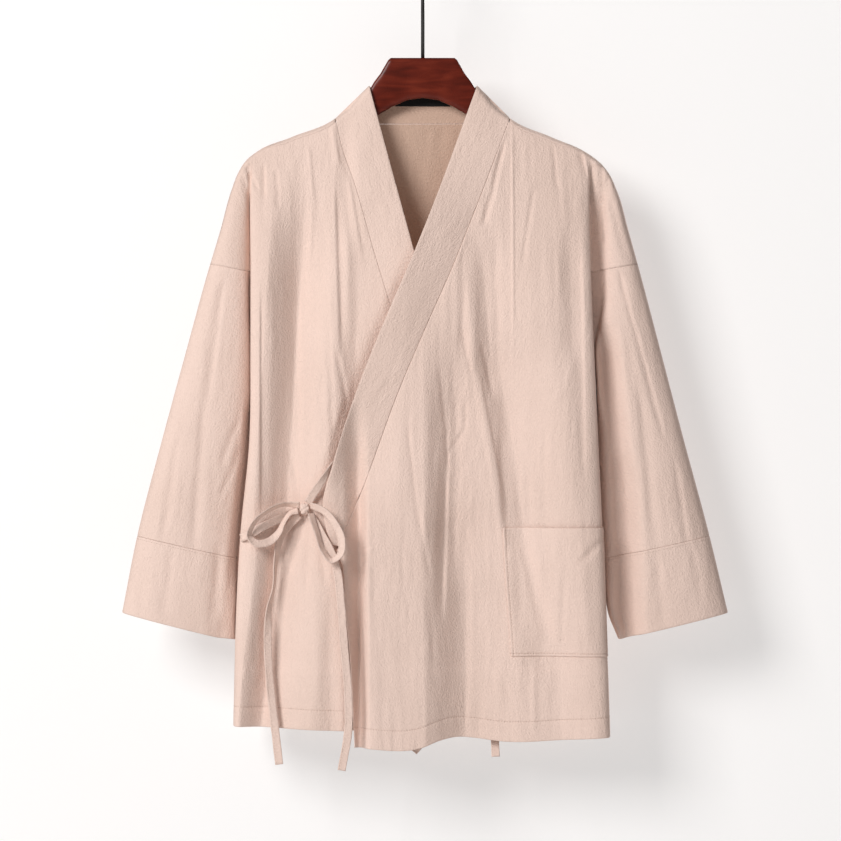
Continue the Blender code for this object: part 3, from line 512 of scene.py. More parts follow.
Crease = namedtuple("Crease", "top_x top_drop foot_x foot_drop half_width height lean")
UNDER_CREASES = table(
    Crease,
    (-103.5, 203.0, -98.5, 249.0, 4.0, 1.2, 0.5),
    (-91.0, 250.0, -74.0, 356.0, 7.0, 1.6, 0.5),
    (-95.0, 275.0, -89.0, 465.0, 7.0, -3.2, -0.6),
    (-132.0, 227.0, -126.0, 292.0, 3.5, 0.9, 0.0),
    (-127.0, 292.0, -130.0, 356.0, 3.5, 0.7, 0.0),
    (-209.0, 262.0, -196.0, 303.0, 5.0, -2.0, 0.4),
    (-204.5, 249.0, -191.0, 278.0, 5.0, -1.8, 0.3),
    (-185.0, 249.0, -184.0, 288.0, 5.0, -1.5, 0.4),
    (-169.0, 254.0, -167.0, 300.0, 5.0, -1.1, 0.0),
    (-180.0, 400.0, -180.0, 640.0, 8.0, -2.6, -0.6),
    (-148.0, 330.0, -146.0, 560.0, 9.0, -1.4, 0.2),
    (-99.0, 466.0, -88.3, 522.0, 5.0, -1.6, 0.3),
    (-88.3, 520.0, -101.0, 566.0, 5.0, -1.6, 0.3),
    (-110.0, 420.0, -104.0, 560.0, 6.0, -1.2, 0.2),
    (-136.6, 655.0, -155.0, 720.0, 7.0, -2.2, 0.0),
    (-131.0, 657.0, -136.0, 745.0, 6.0, -1.6, 0.3),
    (-146.0, 655.0, -172.0, 700.0, 6.0, -1.8, 0.0),
    (-119.0, 660.0, -112.0, 730.0, 7.0, -1.5, 0.0),
    (-142.0, 636.0, -152.0, 580.0, 6.0, -1.2, 0.0),
    (-165.4, 872.0, -165.4, 903.0, 3.0, -1.2, 0.0),
)
OVER_CREASES = table(
    Crease,
    (44.4, 440.0, 55.8, 498.0, 4.0, -1.4, 0.5),
    (69.0, 455.0, 80.6, 512.0, 5.0, -1.6, -0.4),
    (17.6, 482.0, 25.3, 557.0, 4.0, -1.7, 0.6),
    (25.3, 555.0, 27.5, 600.0, 4.0, -1.7, 0.6),
    (22.2, 482.0, 29.0, 560.0, 3.2, -1.0, 0.6),
    (49.7, 522.0, 48.2, 558.0, 4.0, -1.2, 0.0),
    (48.2, 555.0, 29.0, 582.0, 4.0, -1.2, 0.0),
    (59.6, 492.0, 84.2, 621.0, 8.0, 1.5, 0.7),
    (84.2, 615.0, 90.0, 690.0, 8.0, 1.5, 0.7),
    (92.0, 560.0, 98.0, 664.0, 9.0, -2.0, -0.3),
    (-18.6, 545.0, -7.1, 650.0, 4.0, -1.1, 0.4),
    (-7.1, 645.0, 6.0, 720.0, 5.0, -1.2, 0.4),
    (22.0, 596.0, 17.0, 770.0, 9.0, -3.0, 0.6),
    (122.0, 606.0, 122.0, 665.0, 3.5, -0.9, 0.0),
    (109.0, 590.0, 112.0, 662.0, 4.0, -0.8, 0.0),
    (140.0, 560.0, 139.0, 650.0, 4.0, -0.7, 0.0),
    (103.5, 206.0, 104.0, 470.0, 3.0, 0.9, 0.0),
    (128.5, 822.0, 128.5, 900.0, 4.5, 1.6, -0.3),
    (149.7, 225.0, 153.2, 277.0, 4.0, -1.3, 0.5),
    (128.0, 280.0, 122.0, 320.0, 4.0, -1.4, -0.4),
    (122.0, 318.0, 115.0, 364.0, 4.0, -1.1, -0.3),
    (94.0, 214.0, 80.7, 282.0, 6.0, -2.0, 0.0),
    (80.7, 280.0, 69.0, 320.0, 6.0, -1.6, 0.0),
    (51.0, 340.0, 49.0, 470.0, 11.0, -2.2, -0.3),
    (84.0, 330.0, 86.0, 470.0, 8.0, -1.0, 0.0),
    (181.7, 234.0, 187.3, 264.0, 5.0, -1.6, 0.4),
    (194.6, 246.0, 194.6, 318.0, 5.0, -3.0, 0.0),
    (214.0, 261.0, 210.0, 292.0, 5.0, -1.8, 0.0),
    (215.3, 286.0, 233.7, 358.0, 4.5, -1.8, 0.4),
    (176.0, 330.0, 180.0, 600.0, 9.0, -1.6, 0.4),
)
BACK_CREASES = table(
    Crease,
    (-150.0, 250.0, -142.0, 420.0, 7.0, -1.8, 0.3),
    (-96.0, 230.0, -104.0, 330.0, 5.0, -1.2, 0.0),
    (-60.0, 300.0, -74.0, 640.0, 9.0, -1.8, -0.4),
    (-12.0, 260.0, -16.0, 470.0, 6.0, -1.2, 0.0),
    (8.0, 520.0, 2.0, 860.0, 8.0, -2.0, 0.4),
    (52.0, 240.0, 66.0, 420.0, 6.0, -1.4, 0.3),
    (88.0, 400.0, 80.0, 760.0, 9.0, -2.0, -0.4),
    (104.0, 206.0, 104.0, 330.0, 3.0, 0.9, 0.0),
    (150.0, 240.0, 160.0, 520.0, 8.0, -2.0, 0.3),
    (172.0, 520.0, 168.0, 850.0, 9.0, -1.8, -0.3),
    (-168.0, 480.0, -176.0, 840.0, 9.0, -2.0, 0.3),
    (-100.0, 600.0, -92.0, 880.0, 8.0, -1.6, 0.0),
    (-190.0, 247.0, -184.0, 290.0, 5.0, -1.6, 0.0),
    (186.0, 244.0, 181.0, 288.0, 5.0, -1.6, 0.0),
    (30.0, 650.0, 36.0, 890.0, 7.0, -1.4, 0.0),
)
LEFT_SLEEVE_FRONT_CREASES = table(
    Crease,
    (224.3, 366.0, 240.6, 434.0, 4.0, -1.5, 0.5),
    (240.6, 430.0, 275.0, 560.0, 5.0, -1.7, 0.5),
    (208.0, 440.0, 226.0, 620.0, 22.0, -16.0, 0.0),
    (226.0, 600.0, 234.0, 840.0, 28.0, -21.0, 0.0),
)
SLEEVE_CREASES = table(
    Crease,
    (252.0, 500.0, 268.0, 680.0, 9.0, -2.0, -0.3),
    (290.0, 590.0, 306.0, 690.0, 6.0, -1.4, 0.0),
    (268.0, 700.0, 276.0, 780.0, 7.0, -1.3, 0.3),
    (310.0, 690.0, 322.0, 760.0, 6.0, -1.1, 0.0),
    (-214.0, 545.0, -234.0, 596.0, 6.0, -1.6, 0.2),
    (-211.0, 575.0, -232.0, 630.0, 6.0, -1.5, 0.2),
    (-232.0, 380.0, -250.0, 520.0, 8.0, -2.0, 0.3),
    (-250.0, 520.0, -262.0, 690.0, 9.0, -2.2, -0.3),
    (-282.0, 560.0, -300.0, 680.0, 7.0, -1.6, 0.2),
    (-236.0, 690.0, -240.0, 770.0, 9.0, -2.4, 0.0),
    (-290.0, 690.0, -300.0, 770.0, 8.0, -1.4, 0.3),
)

Mark = namedtuple("Mark", "inset out")
SOFT_EDGE = table(Mark, (4.0, 0.0), (2.0, 0.0), (0.9, -0.03), (0.3, -0.08), (0.0, -0.18))
SEWN_EDGE = table(Mark, (4.0, 0.0), (2.0, 0.0), (0.9, -0.06), (0.3, -0.2), (0.0, -0.5))
FOLDED_EDGE = table(Mark, (4.0, 0.1), (2.0, 0.1), (0.9, -0.05), (0.3, -0.3), (0.0, -0.7))
HEMMED_EDGE = table(
    Mark,
    (32.0, 0.0),
    (28.0, 0.02),
    (25.4, 0.08),
    (24.0, -0.08),
    (23.2, -0.32),
    (22.4, -0.1),
    (21.0, 0.18),
    (17.0, 0.22),
    (12.0, 0.22),
    (7.0, 0.22),
    (3.0, 0.2),
    (1.2, 0.1),
    (0.4, -0.1),
    (0.0, -0.5),
)
HEM_STITCH = 23.2
PATCH_EDGE = table(
    Mark,
    (8.0, 0.0),
    (5.0, 0.1),
    (4.0, -0.15),
    (3.4, -0.4),
    (2.8, -0.1),
    (1.6, 0.25),
    (0.6, 0.05),
    (0.0, -0.8),
)
PATCH_STITCH = 3.4
CUFF_STITCH = 3.0
VENT_STITCH = 5.0

Cut = namedtuple("Cut", "piece width length area")
CUTS = table(
    Cut,
    ("right_front", 0.31, 0.74, 0.183),
    ("left_front", 0.36, 0.74, 0.199),
    ("back_panel", 0.53, 0.76, 0.333),
    ("right_sleeve", 0.29, 0.335, 0.073),
    ("left_sleeve", 0.303, 0.335, 0.0747),
    ("right_cuff", 0.31, 0.095, 0.0276),
    ("left_cuff", 0.324, 0.097, 0.0296),
    ("collar_band", 0.058, 1.3, 0.056),
    ("patch_pocket", 0.13, 0.16, 0.0187),
    ("neck_label", 0.064, 0.0165, 0.00105),
)
POCKET_PUFF = 3.0
POCKET_PUFF_EDGES = (0.25, 0.75)
POCKET_PUFF_FOOT = 0.7
POCKET_STAND_OFF = 0.2
POCKET_SLACK = Wave(0.4, 18.0, 30.0)
POCKET_CREASES = table(
    Crease,
    (99.0, 775.0, 117.0, 783.0, 3.0, -0.9, 0.0),
    (118.0, 682.0, 149.0, 806.0, 13.0, -2.2, -0.2),
    (205.0, 680.0, 180.0, 708.0, 7.0, -2.0, 0.0),
    (108.0, 680.0, 111.0, 770.0, 8.0, -1.0, 0.3),
    (163.0, 720.0, 160.0, 806.0, 5.0, -0.9, 0.0),
    (184.0, 676.0, 188.0, 800.0, 8.0, 0.6, 0.0),
)

Corner = namedtuple("Corner", "across out")
TIE_SECTION = table(
    Corner,
    (-1.0, 0.0),
    (-0.98, 0.62),
    (-0.88, 1.0),
    (-0.66, 0.94),
    (-0.3, 0.82),
    (0.3, 0.82),
    (0.66, 0.94),
    (0.88, 1.0),
    (0.98, 0.62),
    (1.0, 0.0),
    (0.98, -0.62),
    (0.88, -1.0),
    (0.66, -0.94),
    (0.3, -0.82),
    (-0.3, -0.82),
    (-0.66, -0.94),
    (-0.88, -1.0),
    (-0.98, -0.62),
)
TIE_STITCH = 1.5
TIE_STITCH_HEIGHT = 0.96
STITCH_PITCH = 3.2
STITCH_LENGTH = 2.3
THREAD = 0.42

CAMERA_PLACE = (-0.0026, -4.03, -0.5437)
CAMERA_LENS = 148.9

WALL_Y = 0.085
WALL_COLOR = (0.57, 0.562, 0.56)
WALL_GLOW = 0.44
WALL_GLOW_COLOR = (1.0, 0.995, 0.995)
WALL_HALF_WIDTH = 4.0
WALL_TOP_Z = 3.0
FLOOR_Z = -1.6
FLOOR_HALF_WIDTH = 6.0
FLOOR_COLOR = (0.82, 0.81, 0.80)
SKY_COLOR = (1.0, 0.95, 0.92)
SKY_STRENGTH = 0.21
CLOTH_LIGHT = (0.87, 0.675, 0.595)
CLOTH_DARK = (0.80, 0.615, 0.535)
# Darker, warmer copies of the cloth's tones for the inside faces: painted shade, as the inside lies
# in shade.
SHADED_INSIDE_LIGHT = (0.60, 0.43, 0.34)
SHADED_INSIDE_DARK = (0.555, 0.385, 0.30)
# A faint glow stands in for the light that comes through thin cloth to its inside.
INSIDE_GLOW = (0.62, 0.36, 0.25)
INSIDE_GLOW_STRENGTH = 0.08
Noise = namedtuple("Noise", "across down detail start")
CREPE_NOISE = Noise(500.0, 360.0, 3.0, 5.1)
CRINKLE_NOISE = Noise(120.0, 42.0, 3.0, 0.3)
YARN_NOISE = Noise(1300.0, 60.0, 2.0, 9.7)
WEFT_NOISE = Noise(60.0, 1200.0, 2.0, 3.3)
PATCH_NOISE = Noise(16.0, 9.0, 1.0, 7.9)
BROAD_NOISE = Noise(11.0, 6.0, 2.0, 1.9)
CLOTH_BUMP = 0.0018
CLOTH_THREADS = 1100.0
SHEEN_TINT = (1.0, 0.92, 0.86)
LABEL_LIGHT = (0.02, 0.02, 0.02)
LABEL_DARK = (0.01, 0.01, 0.01)
Lamp = namedtuple("Lamp", "name place power size color")
LAMP_AIM = (0.0, 0.0, -0.5)
LAMPS = table(
    Lamp,
    ("window_light", (-2.79, -3.57, 1.61), 207.0, 2.1, (1.0, 0.99, 0.98)),
    ("back_light", (2.2, 3.6, 1.2), 130.0, 2.2, (1.0, 0.99, 0.98)),
)


def column(table, name):
    return np.array([getattr(row, name) for row in table])


def smooth(knots, values, at):
    """A smooth curve through (knots, values), read at any array of places."""
    slopes = np.gradient(values, knots)
    at = np.clip(at, knots[0], knots[-1])
    i = np.clip(np.searchsorted(knots, at, side="right") - 1, 0, len(knots) - 2)
    span = knots[i + 1] - knots[i]
    s = (at - knots[i]) / span
    start = values[i] * (1 + 2 * s) * (1 - s) ** 2 + slopes[i] * span * s * (1 - s) ** 2
    end = values[i + 1] * s**2 * (3 - 2 * s) + slopes[i + 1] * span * s**2 * (s - 1)
    return start + end


def read(table, name, drop):
    return smooth(column(table, "drop"), column(table, name), drop)


def step(low, high, at):
    s = np.clip((at - low) / (high - low), 0.0, 1.0)
    return s * s * (3 - 2 * s)


def ramp(low, high, at):
    """A rise from 0 to 1, between a straight one and a soft one, as a hung fold has."""
    straight = np.clip((at - low) / (high - low), 0.0, 1.0)
    return CRISPNESS * straight + (1 - CRISPNESS) * step(low, high, at)


def side_name(side):
    return "left" if side > 0 else "right"


def outline_x(side, drop):
    return read(OUTLINE, side_name(side), drop)


def outline_drop(x):
    """Drop of the shoulder's silhouette above a place at this x."""
    half = np.abs(x)
    right = smooth(column(OUTLINE, "right"), column(OUTLINE, "drop"), half)
    left = smooth(column(OUTLINE, "left"), column(OUTLINE, "drop"), half)
    return np.where(np.asarray(x) > 0, left, right)


def body_edge(side, drop):
    return read(BODY, side_name(side), drop)


def seam_forward(x):
    """How far the shoulder seam lies in front of the ridge. It runs out to nothing at the tips."""
    taper = step(*TIP_TAPER, across(x, np.full(np.shape(x), TIP_DROP)))
    return SEAM_FORWARD - (SEAM_FORWARD - TIP_FORWARD) * taper


def shoulder_depth(x, drop, full):
    """Depth of cloth that falls from the shoulder's ridge, before it meets the body's depth."""
    side = np.where(np.asarray(x) > 0, 1, -1)
    beside = np.where(side > 0, outline_x(1, drop), outline_x(-1, drop)) - np.abs(x)
    below = drop - outline_drop(x)
    beside = np.maximum(beside, LEAST)
    below = np.maximum(below, LEAST)
    inside = beside * below / np.hypot(beside, below)
    ridge = RIDGE_DEPTH * np.sqrt(1 - np.clip(1 - inside / RIDGE_ROUND, 0, 1) ** 2)
    fall = 1 - np.exp(-np.maximum(inside - SEAM_FORWARD, 0) / SHOULDER_FALL)
    return ridge + (full - RIDGE_DEPTH) * fall


def armhole_floor(drop):
    return ARMHOLE_HALF_OPEN * (1 - step(UNDERARM_DROP - UNDERARM_CLOSING, UNDERARM_DROP, drop))


def across(x, drop):
    """Place across the body: 0 at its middle, 1 at its side edges."""
    left, right = body_edge(1, drop), body_edge(-1, drop)
    return np.clip(np.abs(x - (left - right) / 2) / ((left + right) / 2), 0, 1)


def body_depth(x, drop, full):
    """Depth of one face of the body, from the fall off the shoulder to the round side edges."""
    xi = across(x, drop)
    side = (1 - xi**BODY_SQUARENESS) ** (1 / BODY_SQUARENESS)
    floor = armhole_floor(drop)
    tube = floor + (full - floor) * side
    hung = step(*HANGS_FREE, drop)
    return (1 - hung) * shoulder_depth(x, drop, full) + hung * tube


def fold_height(x, drop, folds):
    """Sum of soft folds, each a ridge or trough along a slanted line that fades at its ends."""
    total = np.zeros(np.broadcast(x, drop).shape)
    for fold in folds:
        along = (drop - fold.top_drop) / (fold.foot_drop - fold.top_drop)
        middle = fold.top_x + (fold.foot_x - fold.top_x) * along
        height = fold.top_height + (fold.foot_height - fold.top_height) * np.clip(along, 0, 1)
        ends = step(*FOLD_STARTS, along) * (1 - step(*FOLD_STOPS, along))
        away = np.clip((x - middle) / fold.half_width, -1, 1)
        rise = ramp(-1, fold.lean, away) * (1 - ramp(fold.lean, 1, away))
        total = total + height * ends * rise
    return total * (1 - step(*FOLD_SIDE_FADE, across(x, drop)))


def front_depth(x, drop, layer=0):
    """Depth of the front's outer face. The layer is 1 on the lapped-over front, -1 on the one
    under it, and 0 for the plain front that the ties are laid on."""
    x, drop = np.asarray(x, float), np.asarray(drop, float)
    depth = body_depth(x, drop, read(BODY, "front", drop)) + fold_height(x, drop, FRONT_FOLDS)
    if layer:
        depth = depth + fold_height(x, drop, LAP_FOLDS)
    if layer < 0:
        at_side = step(*LAP_SIDE_FADE, across(x, drop))
        depth = depth - LAP_GAP * step(*LAP_START, drop) * (1 - at_side)
        edge = read(OVER_EDGE, "x", drop)
        covered = step(edge + LAP_HOLLOW_START, edge + LAP_HOLLOW_END, x)
        depth = depth - LAP_HOLLOW * covered * step(*LAP_TOP, drop)
    return depth


def back_depth(x, drop):
    x, drop = np.asarray(x, float), np.asarray(drop, float)
    return body_depth(x, drop, read(BODY, "back", drop)) + fold_height(x, drop, BACK_FOLDS)


def sleeve_depth(side, x, drop, full, inner=None):
    """Depth of one face of the sleeve and dropped shoulder, at a distance x from the middle. The
    sleeve's round inner side begins at inner, which is read from its table if not given."""
    outer = outline_x(side, drop)
    if inner is None:
        inner = read(SLEEVE, side_name(side), drop)
    half = (outer - inner) / 2
    thick = read(SLEEVE, "depth", drop)
    power = SLEEVE_SQUARENESS
    floor = armhole_floor(drop)
    out = np.clip(1 - (outer - x) / half, 0, 1)
    inward = np.clip(1 - (x - inner) / half, 0, 1)
    outer_face = thick * (1 - out**power) ** (1 / power)
    power = SLEEVE_INNER_SQUARENESS
    inner_face = floor + (thick - floor) * (1 - inward**power) ** (1 / power)
    tube = np.where(x > (outer + inner) / 2, outer_face, inner_face)
    hung = step(*HANGS_FREE, drop)
    return (1 - hung) * shoulder_depth(side * x, drop, full) + hung * tube


def ripple(a, b, seed):
    """Smooth random heights from -1 to 1, a new one at each whole step of a and b."""
    heights = np.random.default_rng(seed).uniform(-1, 1, (61, 67))
    i, j = np.floor(a).astype(int), np.floor(b).astype(int)
    s, t = a - i, b - j
    s, t = s * s * (3 - 2 * s), t * t * (3 - 2 * t)
    i, j, i_next, j_next = i % 61, j % 67, (i + 1) % 61, (j + 1) % 67
    near = heights[i, j] * (1 - s) + heights[i_next, j] * s
    far = heights[i, j_next] * (1 - s) + heights[i_next, j_next] * s
    return near * (1 - t) + far * t


def waves(wave, x, drop, seed):
    return wave.height * ripple(x / wave.across, drop / wave.down, seed)


def crinkle(x, drop, seed):
    """The cloth's own small upright wrinkles, stronger in some places than in others."""
    sway = waves(CRINKLE_SWAY, x, drop, seed + 1)
    broad = waves(CRINKLE_BROAD, x + sway, drop, seed + 2)
    narrow = waves(CRINKLE_NARROW, x + sway, drop, seed + 3)
    where = CRINKLE_STRENGTH + waves(CRINKLE_PLACES, x, drop, seed + 4)
    return (broad + narrow) * where


def crease_height(x, drop, creases):
    """Sum of listed creases, each steeper on the side that it leans to."""
    total = np.zeros(np.broadcast(x, drop).shape)
    for crease in creases:
        along = (drop - crease.top_drop) / (crease.foot_drop - crease.top_drop)
        middle = crease.top_x + (crease.foot_x - crease.top_x) * along
        ends = step(*CREASE_STARTS, along) * (1 - step(*CREASE_STOPS, along))
        away = np.clip((x - middle) / crease.half_width, -1, 1)
        rise = step(-1, crease.lean, away) * (1 - step(crease.lean, 1, away))
        total = total + crease.height * ends * rise
    return total


def fine_relief(x, drop, creases, seed):
    return crease_height(x, drop, creases) + crinkle(x, drop, seed)


def spaced(count):
    return np.linspace(0.0, 1.0, count + 1)


def bunched(count):
    """Places from 0 to 1 that lie closer together at both ends."""
    return (1 - np.cos(math.pi * spaced(count))) / 2


def rows_of(upper, middle, pocket, lower):
    """Row places: whole numbers at the shoulder, armhole, pocket's top, pocket's foot and hem."""
    stretches = (spaced(upper) ** UPPER_ROW_BIAS, spaced(middle), spaced(pocket), spaced(lower))
    return np.concatenate([[0.0]] + [i + stretch[1:] for i, stretch in enumerate(stretches)])


def row_drop(row, top, hem):
    levels = (top, ARMHOLE_DROP, POCKET_TOP_DROP, POCKET_FOOT_DROP, hem)
    drop = top + 0 * row
    for i in range(len(levels) - 1):
        drop = drop + (levels[i + 1] - levels[i]) * np.clip(row - i, 0, 1)
    return drop


def vent_gap(drop):
    """Half the gap between front and back at the side, wider where the side is slit."""
    slit = step(VENT_DROP, VENT_DROP + VENT_START, drop)
    return SEAM_GAP / 2 + SIDE_RIM_LEAN + VENT_HALF_GAP * slit


def plain_columns(side, inner, drop, count):
    """Places across the right front, closer together where it turns to the side."""
    reach = np.sin(math.pi / 2 * spaced(count))[None, :]
    return inner + (side * body_edge(side, drop) - inner) * reach


def pocket_columns(side, inner, drop, counts):
    """Places across the left front, with one on each long side of the pocket."""
    before, over = counts
    near = read(POCKET_LINES, "inner", drop)
    far = read(POCKET_LINES, "outer", drop)
    first = np.concatenate([spaced(before), np.ones(over + 1)])[None, :]
    second = np.concatenate([np.zeros(before), np.sin(math.pi / 2 * spaced(over)), [1.0]])[None, :]
    last = np.concatenate([np.zeros(before + over + 1), [1.0]])[None, :]
    x = inner + (near - inner) * first + (far - near) * second
    return x + (side * body_edge(side, drop) - far) * last


def front_grid(side, seam, edge, hem, layer, rows, counts, creases):
    """Points of a front, a row for each level, from its collar or front edge out to its side."""
    row = rows[:, None]
    placed = pocket_columns if layer > 0 else plain_columns
    columns = sum(counts) + 1 if layer > 0 else counts
    last_seam = seam[-1].drop
    drop = row_drop(row, FIRST_TOP_DROP, FIRST_HEM_DROP) + np.zeros((1, columns + 1))
    for _ in range(SETTLING_ROUNDS):
        seam_x = read(seam, "x", drop)
        edge_x = read(edge, "x", drop)
        inner = np.where(drop < last_seam, seam_x + side * (SEAM_GAP / 2 + CURVE_SLACK), edge_x)
        x = placed(side, inner, drop, counts)
        corner = CORNER_GAP * step(*CORNER_REACH, across(x, drop))
        top = outline_drop(x) + seam_forward(x) + SEAM_GAP / 2 + corner
        foot = smooth(column(hem, "x"), column(hem, "drop"), x)
        drop = 0.5 * drop + 0.5 * row_drop(row, top, foot)
    calm = step(0, FRONT_EDGE_CALM, np.abs(x - inner)) * step(0, TOP_CALM, drop - top)
    calm = calm * (1 - step(*SIDE_CALM, across(x, drop)) * step(*HANGS_FREE, drop))
    seed = FRONT_SEED + 10 * layer
    relief = fine_relief(x, drop, creases, seed) * calm
    depth = front_depth(x, drop, layer) + relief
    y = -depth - vent_gap(drop)
    body = np.stack([x, y, -drop], axis=2)
    return join_dropped_shoulder(side, body, rows, -1, relief[:, -1:], creases, seed)


def join_dropped_shoulder(side, body, rows, facing, start_relief, creases, seed):
    """Adds the columns that run out from the body's edge over the dropped shoulder."""
    row = np.minimum(rows, 1)[:, None]
    place = bunched(HUMP_COLUMNS)[None, 1:] * row + spaced(HUMP_COLUMNS)[None, 1:] * (1 - row)
    start_x = np.abs(body[:, -1, 0])[:, None]
    start_drop = -body[:, -1, 2][:, None]
    tip_drop = outline_drop(side * TIP_HALF_WIDTH)
    end_drop = tip_drop + (ARMHOLE_OUTER_DROP - tip_drop) * row
    end_x = outline_x(side, end_drop)
    x = start_x + (end_x - start_x) * place
    drop = start_drop + (end_drop - start_drop) * place
    drop[0] = outline_drop(side * x[0])
    full = read(BODY, "front" if facing < 0 else "back", drop)
    depth = sleeve_depth(side, x, drop, full)
    calm = step(0, HUMP_CALM, 1 - place) * step(0, TOP_CALM, drop - outline_drop(side * x))
    calm = calm * step(0, TOP_CALM, ARMHOLE_OUTER_DROP - drop)
    own = fine_relief(side * x, drop, creases, seed) * calm
    joined = 1 - step(0, HUMP_JOIN, place)
    depth = depth + own * (1 - joined) + start_relief * joined
    depth[0] = 0
    depth[:, -1] = 0
    y = facing * (depth + SEAM_GAP / 2 + TIP_RIM_LEAN * (2 - place))
    hump = np.stack([side * x, y, -drop], axis=2)
    return np.concatenate([body, hump], axis=1)


def neck_drop(x):
    """Drop of the collar's seam behind the neck, from one neck point to the other."""
    around = np.sqrt(np.clip(1 - (x / NECK_HALF_WIDTH) ** 2, 0, 1))
    top = OUTLINE[1].drop
    return top + (BACK_NECK_DROP - top) * around**NECK_ROUNDNESS


def back_columns(drop):
    """Places across the back, with one just outside each end of the neck's curve."""
    neck = NECK_HALF_WIDTH + SEAM_GAP
    middle = neck * np.linspace(-1, 1, 2 * NECK_COLUMNS + 1)[None, :] + 0 * drop[:, :1]
    outward = np.sin(math.pi / 2 * spaced(SHOULDER_COLUMNS))[None, 1:]
    count = SHOULDER_COLUMNS
    left = neck + (body_edge(1, drop[:, -count:]) - neck) * outward
    right = -neck - (body_edge(-1, drop[:, count - 1 :: -1]) - neck) * outward
    return np.concatenate([right[:, ::-1], middle, left], axis=1)


def back_grid(rows):
    """Points of the back, from the right dropped shoulder across to the left one."""
    row = rows[:, None]
    columns = NECK_COLUMNS + SHOULDER_COLUMNS
    drop = row_drop(row, FIRST_TOP_DROP, FIRST_HEM_DROP) + np.zeros((1, 2 * columns + 1))
    for _ in range(SETTLING_ROUNDS):
        x = back_columns(drop)
        on_shoulder = np.abs(x) > NECK_HALF_WIDTH
        top = np.where(on_shoulder, outline_drop(x) + seam_forward(x), neck_drop(x) + SEAM_GAP)
        foot = smooth(column(BACK_HEM, "x"), column(BACK_HEM, "drop"), x)
        drop = 0.5 * drop + 0.5 * row_drop(row, top, foot)
    at_side = step(*SIDE_CALM, across(x, drop)) * step(*HANGS_FREE, drop)
    calm = step(0, BACK_TOP_CALM, drop - top) * (1 - at_side)
    relief = fine_relief(x, drop, BACK_CREASES, BACK_SEED) * calm
    y = back_depth(x, drop) + relief + vent_gap(drop)
    body = np.stack([x, y, -drop], axis=2)
    left, right = relief[:, -1:], relief[:, :1]
    left_half, right_half = body[:, columns:], body[:, columns::-1]
    own = (BACK_CREASES, BACK_SEED)
    left_side = join_dropped_shoulder(1, left_half, rows, 1, left, *own)
    right_side = join_dropped_shoulder(-1, right_half, rows, 1, right, *own)
    return np.concatenate([right_side[:, ::-1], left_side[:, 1:]], axis=1)


def over_ridge(grid):
    """Rows that carry the back over the shoulder's ridge to its seam on the front."""
    first = grid[0]
    x = first[:, 0]
    ridge = outline_drop(x)
    forward = seam_forward(x) - SEAM_GAP / 2
    rows = []
    for share in FLAP_SHARES:
        level = ridge + forward * share
        depth = shoulder_depth(x, level, read(BODY, "front", level))
        rows.append(np.stack([x, -depth, -level], axis=1))
    rows.append(np.stack([x, 0 * x, -ridge], axis=1))
    for share in FLAP_SHARES[::-1][:3]:
        level = ridge + forward * share
        depth = shoulder_depth(x, level, read(BODY, "back", level))
        rows.append(np.stack([x, depth, -level], axis=1))
    for flap in rows:
        flap[:HUMP_COLUMNS] = first[:HUMP_COLUMNS]
        flap[-HUMP_COLUMNS:] = first[-HUMP_COLUMNS:]
    return np.concatenate([np.array(rows), grid], axis=0)


def ring_grid(side, levels, rows):
    """Rings of a sleeve or cuff, each from its inner edge over the front and round the back."""
    at = np.linspace(0, len(levels) - 1, rows + 1)
    index = np.arange(len(levels))
    outer_drop = np.interp(at, index, column(levels, "outer"))[:, None]
    inner_drop = np.interp(at, index, column(levels, "inner"))[:, None]
    closed = inner_drop >= UNDERARM_DROP
    at_body = body_edge(side, inner_drop) + SEAM_GAP
    apart = step(*SLEEVE_PARTS, inner_drop)
    inner_x = at_body + (read(SLEEVE, side_name(side), inner_drop) - at_body) * apart
    outer_x = outline_x(side, outer_drop)
    place = bunched(RING_CELLS)[None, :]
    x = inner_x + (outer_x - inner_x) * place
    drop = inner_drop + (outer_drop - inner_drop) * place
    begins = read(SLEEVE, side_name(side), drop)
    begins = begins + (inner_x - begins) * step(*SLEEVE_ROUNDS, inner_drop)
    depth = sleeve_depth(side, x, drop, read(BODY, "front", drop), begins)
    depth[:, -1] = 0
    depth = np.where(closed & (place == 0), 0, depth)
    first, last = RING_CALM
    calm = step(0, first, place) * (1 - step(last, 1, place))
    calm = calm * step(0, RING_CALM_DROP, outer_drop - ARMHOLE_OUTER_DROP)
    tuck = np.minimum(body_edge(side, inner_drop) + TUCK_GAP - inner_x, 0)
    if side > 0:
        tuck = tuck * (1 - step(*LEFT_TUCK_STOPS, inner_drop))
    deep = TUCK_DEPTH * step(*TUCK_STARTS, inner_drop) * (1 - step(*TUCK_STOPS, inner_drop))
    faces = []
    for facing, creases in (
        (-1, LEFT_SLEEVE_FRONT_CREASES + SLEEVE_CREASES),
        (1, SLEEVE_CREASES),
    ):
        seed = SLEEVE_SEED + 3 * side + facing
        relief = fine_relief(side * x, drop, creases, seed) * calm
        tucked = 1 - step(0, TUCK_FRONT if facing < 0 else TUCK_BACK, place)
        y = facing * (depth + relief) + deep * tucked
        faces.append(np.stack([side * (x + tuck * tucked), y, -drop], axis=2))
    return np.concatenate([faces[0], faces[1][:, -2::-1]], axis=1)


def collar_grid():
    """Points of the collar band: up one front edge, round the back of the neck, down the other."""
    right = collar_run(UNDER_EDGE, UNDER_SEAM, -1)
    left = collar_run(OVER_EDGE, OVER_SEAM, 1)
    return np.concatenate([right[::-1], collar_back(COLLAR_BACK_CELLS)[1:-1], left], axis=0)


